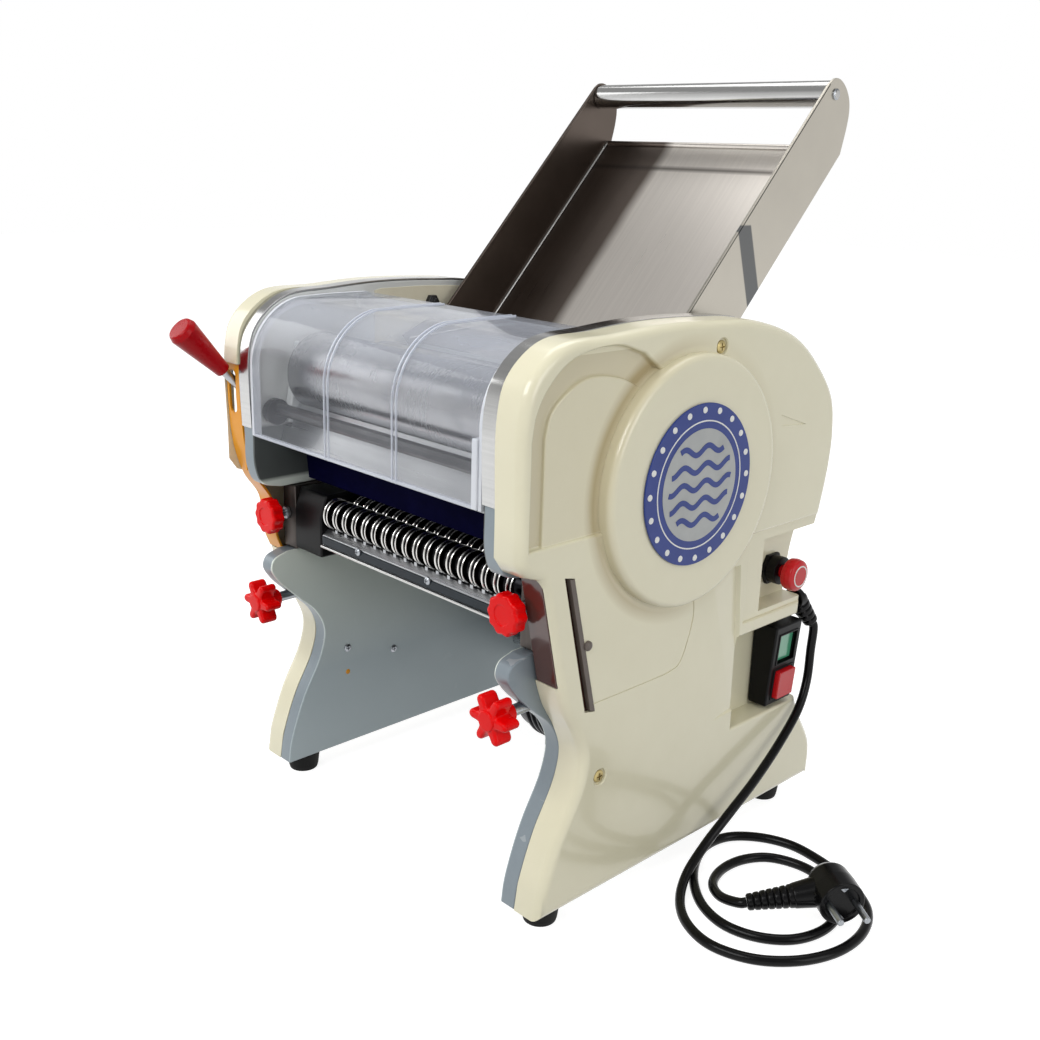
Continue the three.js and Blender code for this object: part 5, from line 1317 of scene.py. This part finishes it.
def make_lever():
    lean = math.radians(135)
    way = Vector((0, math.cos(lean), math.sin(lean)))
    at = (-155.5, *LEVER_AXIS)
    hub = bar(LEVER_AXIS, 10, -159.6, -150.8, 56, 1)
    stem = turned([(0, 5), (3.5, 5), (3.5, 62), (0, 62)], at, way, 40)
    hole = bar(LEVER_AXIS, 5.3, -170, -140, 32)
    body = combined(combined(hub, [stem], "UNION"), [hole])
    piece("lever_rod", body, "steel", ["thickness_lever"], "lever")
    profile = rounded_profile(
        [(0, 38.5), (5.8, 38.5), (6.4, 44), (10.3, 76), (11.2, 83), (9.6, 87.6), (0, 88)],
        [1, 4, 6, 3, 2.2], 5,
    )
    piece("lever_handle", turned(profile, at, way, 72), "grip_red", ["lever_grip"], "lever")


make_lever()


def make_gate():
    """The bent plate in whose slot the lever moves."""
    front = smooth([(9, 199), (4, 212), (2.5, 231), (-1, 245), (-13, 263), (-21, 288),
                    (-24, 323), (-24, 352)], 6)
    plate = slab([*front, *reversed(moved_sideways(front, -2))], -163, -145.4)
    lug = block(-146.8, -144, -21, -2, 270, 300)
    slot = softened(block(-160.1, -150.9, -40, -10, 314, 347), 4.2, 6, 60,
                    lambda middle: -31 < middle.y < -20)
    body = combined(combined(plate, [lug], "UNION"), [slot])
    piece("orange_gate", softened(body, 0.4, 2, 50), "orange", ["lever_gate"])


make_gate()

# Feet and rear panel


def make_foot(side, y, word):
    pad = turned(rounded_profile([(0, 0), (11.6, 0), (12.4, 3), (14, 15.7), (0, 15.7)],
                                 [1, 0.6, 0.8]), (side * 145, y, 0), ALONG_Z, 64)
    stud = turned([(0, 8), (3.5, 8), (3.5, 28), (0, 28)], (side * FRAME_MIDDLE, y, 0), ALONG_Z, 32)
    piece(f"{word}_rubber_foot", combined(pad, [stud], "UNION"), "rubber", [f"{word}_foot"])


for foot_side, across in ((-1, "left"), (1, "right")):
    for foot_y, end in zip(FOOT_PLACES, ("front", "rear")):
        make_foot(foot_side, foot_y, f"{end}_{across}")


def make_rear_panel():
    sheet = softened(block(-PANEL_HALF, PANEL_HALF, PANEL_FRONT, 276.5, PANEL_LOW, 330), 0.4)
    louvres = []
    for x in (-92, 8):
        for i in range(7):
            z = 120 + 17 * i
            hood = slab([(276.2, z), (280.2, z + 0.6), (276.2, z + 9)], x, x + 84)
            louvres.append(softened(hood, 0.5, 3))
    piece("rear_sheet", [sheet, *louvres], "steel", ["rear_panel"])
    heads = [cross_screw((x, 276.4, z), (0, 1, 0)) for x in (-121, 121) for z in (44, 182, 320)]
    piece("rear_sheet_screws", heads, "zinc")


make_rear_panel()

# Motor


def make_motor():
    """A ribbed round housing on a foot."""
    left, right, radius = 10, 129.7, 45
    profile = [(0, left), (radius - 6, left), (radius - 3, left + 3)]
    for i in range(14):
        x = left + 14 + 6.2 * i
        profile += [(radius - 3, x), (radius, x + 0.8), (radius, x + 2.4), (radius - 3, x + 3.2)]
    profile += [(radius - 3, right - 14), (radius, right - 13), (radius, right - 3),
                (radius - 3, right), (0, right)]
    body = turned(profile, (0, *MOTOR_AXIS), ALONG_X, 96)
    y, z = MOTOR_AXIS
    base = softened(block(left + 18, right, y - 22.5, y + 22.5, z - 48, z), 1.2)
    bore = bar(MOTOR_AXIS, 7.3, 107.7, right + 6, 48)
    piece("motor_housing", combined(combined(body, [base], "UNION"), [bore]), "dark", ["motor"])


make_motor()

# Switches


def sloped(low, high, lift):
    """The slanted face of the switch box between two heights, lifted outwards."""
    lean = lambda z: 165 + (z - 98) * 5 / 68 + lift
    return [(lean(low), low), (lean(high), high)]


def make_switch_box():
    body = softened(prism([(147.8, 98), (165, 98), (170, 166), (147.8, 166)], 249, 283), 1.6, 4)
    pockets = [block(157, 180, 255, 277, low, high) for low, high in ((134, 158), (104, 128))]
    piece("switch_case", combined(body, pockets), "black", ["switch_box"])
    frames = []
    for low, high in ((132.6, 159.4), (102.6, 129.4)):
        (x0, z0), (x1, z1) = sloped(low, high, 0.8)
        ring = prism([(x0 - 2.4, z0), (x0, z0), (x1, z1), (x1 - 2.4, z1)], 253.6, 278.4)
        frames.append(softened(combined(softened(ring, 0.5), [
            block(150, 180, 255, 277, low + 1.4, high - 1.4)]), 0.2, 1))
    piece("key_frames", frames, "black")
    for name, look, node, body_name, low, high, rise in (
        ("green_key_cap", "green", "green_button", "green_button_body", 134.4, 157.6, -3.4),
        ("red_key_cap", "red_key", "red_button", "red_button_body", 104.4, 127.6, 4.2),
    ):
        (x0, z0), (x1, z1) = sloped(low, high, rise + 1.2)
        key = softened(prism([(161, z0), (x0, z0), (x1, z1), (161, z1)], 255.4, 276.6), 1.5, 4)
        hollow = turned([(0, -1.0), (26, -0.2), (44, 1.6), (44, 40), (0, 40)], sides=96)
        middle = ((x0 + x1) / 2 + 0.2, 266, (z0 + z1) / 2)
        hollow.transform(Matrix.Translation(middle) @ Matrix.Rotation(math.radians(4.2), 4, "Y"))
        piece(name, combined(key, [hollow]), look, [node], body_name)


make_switch_box()


def make_stop_switch():
    at = (0, 264, 207)
    nut = softened(turned([(8, 147.8), (13.5, 147.8), (13.5, 151), (8, 151), (8, 147.8)], at,
                          ALONG_X, 6), 0.6)
    body = turned(rounded_profile([(0, 147.9), (11, 147.9), (11, 159.4), (5.3, 159.4),
                                   (5.3, 148.4), (0, 148.4)], [0.1, 0.8, 0.3, 0.1]),
                  at, ALONG_X, 72)
    piece("stop_switch_barrel", [nut, body], "black", ["stop_switch_body"])
    profile = rounded_profile(
        [(0, 153), (5, 153), (5, 163.8), (9.6, 163.8), (12.2, 166), (12.8, 170), (12, 174.6),
         (8, 176), (0, 176)], [0.4, 0.3, 1, 2, 3, 2.4, 1.2], 5)
    piece("stop_button_head", turned(profile, at, ALONG_X, 80), "red_key", ["stop_button"],
          "stop_button_body")
    ring = turned([(7.4, 175.6), (8.4, 175.6), (8.4, 176.15), (7.4, 176.15), (7.4, 175.6)], at,
                  ALONG_X, 72)
    piece("stop_button_ring", ring, "white", body="stop_button_body")


make_stop_switch()

# Cover screws, frame screws and badge


def make_small_pieces():
    heads = [cross_screw((side * 164.7, *centre), (side, 0, 0), 4.6, 1.5)
             for side in (-1, 1) for centre in SCREWS]
    piece("cover_screws", heads, "brass")
    heads = [cross_screw((-FRAME_IN, y, z), (1, 0, 0), 3.4, 1.5)
             for y, z in ((61, 104), (110, 90))]
    piece("frame_screws", heads, "zinc")
    dab = rounded_profile([(0, -130), (2.4, -130), (1.8, -129.5), (0, -129.4)], [0.2, 0.3])
    piece("paint_dab", turned(dab, (0, 61, 82), ALONG_X, 32), "orange")
    strip = [(17.4, 258.2), (21.8, 257.4), (46.4, 159.6), (41.8, 161.2)]
    piece("slot_strip", softened(slab(strip, 163.6, 167.2), 0.3), "strip")
    latch = rounded_profile([(0, 165), (3.4, 165), (3.4, 168.4), (1.6, 169.6), (0, 169.6)],
                            [0.2, 1, 0.6])
    piece("slot_latch", turned(latch, (0, 36.4, 208.9), ALONG_X, 32), "strip")
    bolt = turned([(0, -129.5), (5.6, -129.5), (5.6, -125), (3.1, -124.8), (3.1, -121.4),
                   (0, -121.4)], (0, 149.7, 391), ALONG_X, 6)
    piece("left_skin_bolt", softened(bolt, 0.4), "dark")


make_small_pieces()

BADGE_AT = (129, 302.5)


def wave_strand(z, reach, half):
    line = [(BADGE_AT[0] + y, BADGE_AT[1] + z + 2.6 * math.sin(TURN * y / 24))
            for y in (-reach + 2 * reach * i / 48 for i in range(49))]
    return [*moved_sideways(line, half), *reversed(moved_sideways(line, -half))]


def make_badge():
    """A round plate with a dotted rim and wavy strands on a grey middle."""
    low = DRUM_FACE + 0.3
    top = low + 1.6
    piece("badge_disc", bar(BADGE_AT, 55.5, low, top, 128, 0.5), "blue", ["badge_plate"])
    middle = bar(BADGE_AT, 38.5, top - 0.2, top + 0.25, 112, 0.1)
    piece("badge_middle", middle, "silver")
    marks = [turned([(0, top - 0.2), (2.3, top - 0.2), (2.1, top + 0.3), (0, top + 0.3)],
                    (0, *polar(BADGE_AT, 51, TURN * i / 20)), ALONG_X, 24) for i in range(20)]
    line = turned([(43.2, top - 0.2), (44.1, top - 0.2), (44.1, top + 0.25), (43.2, top + 0.25),
                   (43.2, top - 0.2)], (0, *BADGE_AT), ALONG_X, 112)
    piece("badge_marks", [*marks, line], "white")
    strands = []
    for i in range(5):
        z = 12 * (i - 2)
        reach = math.sqrt(34**2 - z**2) - 1.5
        strands.append(slab(wave_strand(z, reach, 1.9), top, top + 0.5))
    piece("badge_strands", strands, "blue")


make_badge()

# Looks of the solids that stay as they are
CARRIED = {
    "steel": ["countershaft", "front_scraper"],
    "dark": ["front_roller_gear", "rear_roller_gears", "adjusting_shaft", "big_pulley",
             "motor_pulley", "cutter_drive_gear", "idler_gear"],
    "rubber": ["drive_belt"],
    "navy": ["sheet_guide"],
}
for look, nodes in CARRIED.items():
    for node in nodes:
        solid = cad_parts[node]
        solid.data.materials.clear()
        solid.data.materials.append(LOOKS[look].material)


# Studio


SKY_STOPS = [(at, (grey, grey, grey, 1)) for at, grey in (
    (0.0, 0.95), (0.5, 1.0), (0.58, 0.85), (0.72, 0.42), (1.0, 0.5))]


def rays(nodes, kinds):
    return [nodes.node("ShaderNodeLightPath", {}, {}, f"Is {kind} Ray") for kind in kinds]


def make_floor():
    """A pale floor that looks white to the camera and in reflections."""
    mesh = bpy.data.meshes.new("studio_floor")
    sheet = bmesh.new()
    bmesh.ops.create_grid(sheet, x_segments=1, y_segments=1, size=6)
    sheet.to_mesh(mesh)
    sheet.free()
    floor = add_to_scene("studio_floor", mesh)
    floor.location.z = -0.0002
    paper = Finish("floor_paper", Roughness=0.9)
    paper.set("Base Color", (0.4, 0.4, 0.4, 1))
    camera, glossy, through = rays(paper, ("Camera", "Glossy", "Transmission"))
    paper.set("Emission Color", (1, 1, 1, 1))
    paper.set("Emission Strength", (camera + glossy + through).clipped() * 0.86)
    mesh.materials.append(paper.material)


def make_sky():
    """A grey world with a graded sky for reflections, white where the camera sees it."""
    world = bpy.data.worlds.new("studio")
    world.use_nodes = True
    bpy.context.scene.world = world
    world.node_tree.nodes.clear()
    sky = Nodes(world.node_tree)
    way = sky.node("ShaderNodeTexCoord", {}, {}, "Generated")
    height = sky.node("ShaderNodeSeparateXYZ", {}, {0: way}, "Z")
    graded = sky.node("ShaderNodeValToRGB", {"stops": SKY_STOPS}, {0: height * 0.5 + 0.5})
    plain, shine, white = (sky.node("ShaderNodeBackground", {}, {"Color": colour})
                           for colour in ((0.5, 0.505, 0.515, 1), graded, (1, 1, 1, 1)))
    camera, glossy, through = rays(sky, ("Camera", "Glossy", "Transmission"))
    seen = sky.node("ShaderNodeMath", {"operation": "MAXIMUM"}, {0: camera, 1: through})
    lit = sky.node("ShaderNodeMixShader", {}, {0: glossy, 1: plain, 2: shine})
    whole = sky.node("ShaderNodeMixShader", {}, {0: seen, 1: lit, 2: white})
    sky.node("ShaderNodeOutputWorld", {}, {"Surface": whole})


def make_lamps():
    lamps = [
        ("key_lamp", (0.2, -1.6, 1.5), (1.3, 0.9), 21),
        ("side_lamp", (1.9, 0.1, 0.9), (0.9, 1.2), 8),
        ("top_lamp", (-0.4, 0.5, 1.9), (1.4, 1.0), 10),
        ("left_lamp", (-1.7, -0.8, 0.9), (0.8, 1.2), 8),
    ]
    for name, at, size, power in lamps:
        light = bpy.data.lights.new(name, "AREA")
        light.shape, light.size, light.size_y, light.energy = "RECTANGLE", *size, power
        lamp = add_to_scene(name, light)
        lamp.location = at
        aim = Vector((0, 0, 0.22)) - Vector(at)
        lamp.rotation_mode = "QUATERNION"
        lamp.rotation_quaternion = aim.to_track_quat("-Z", "Y")


make_floor()
make_sky()
make_lamps()
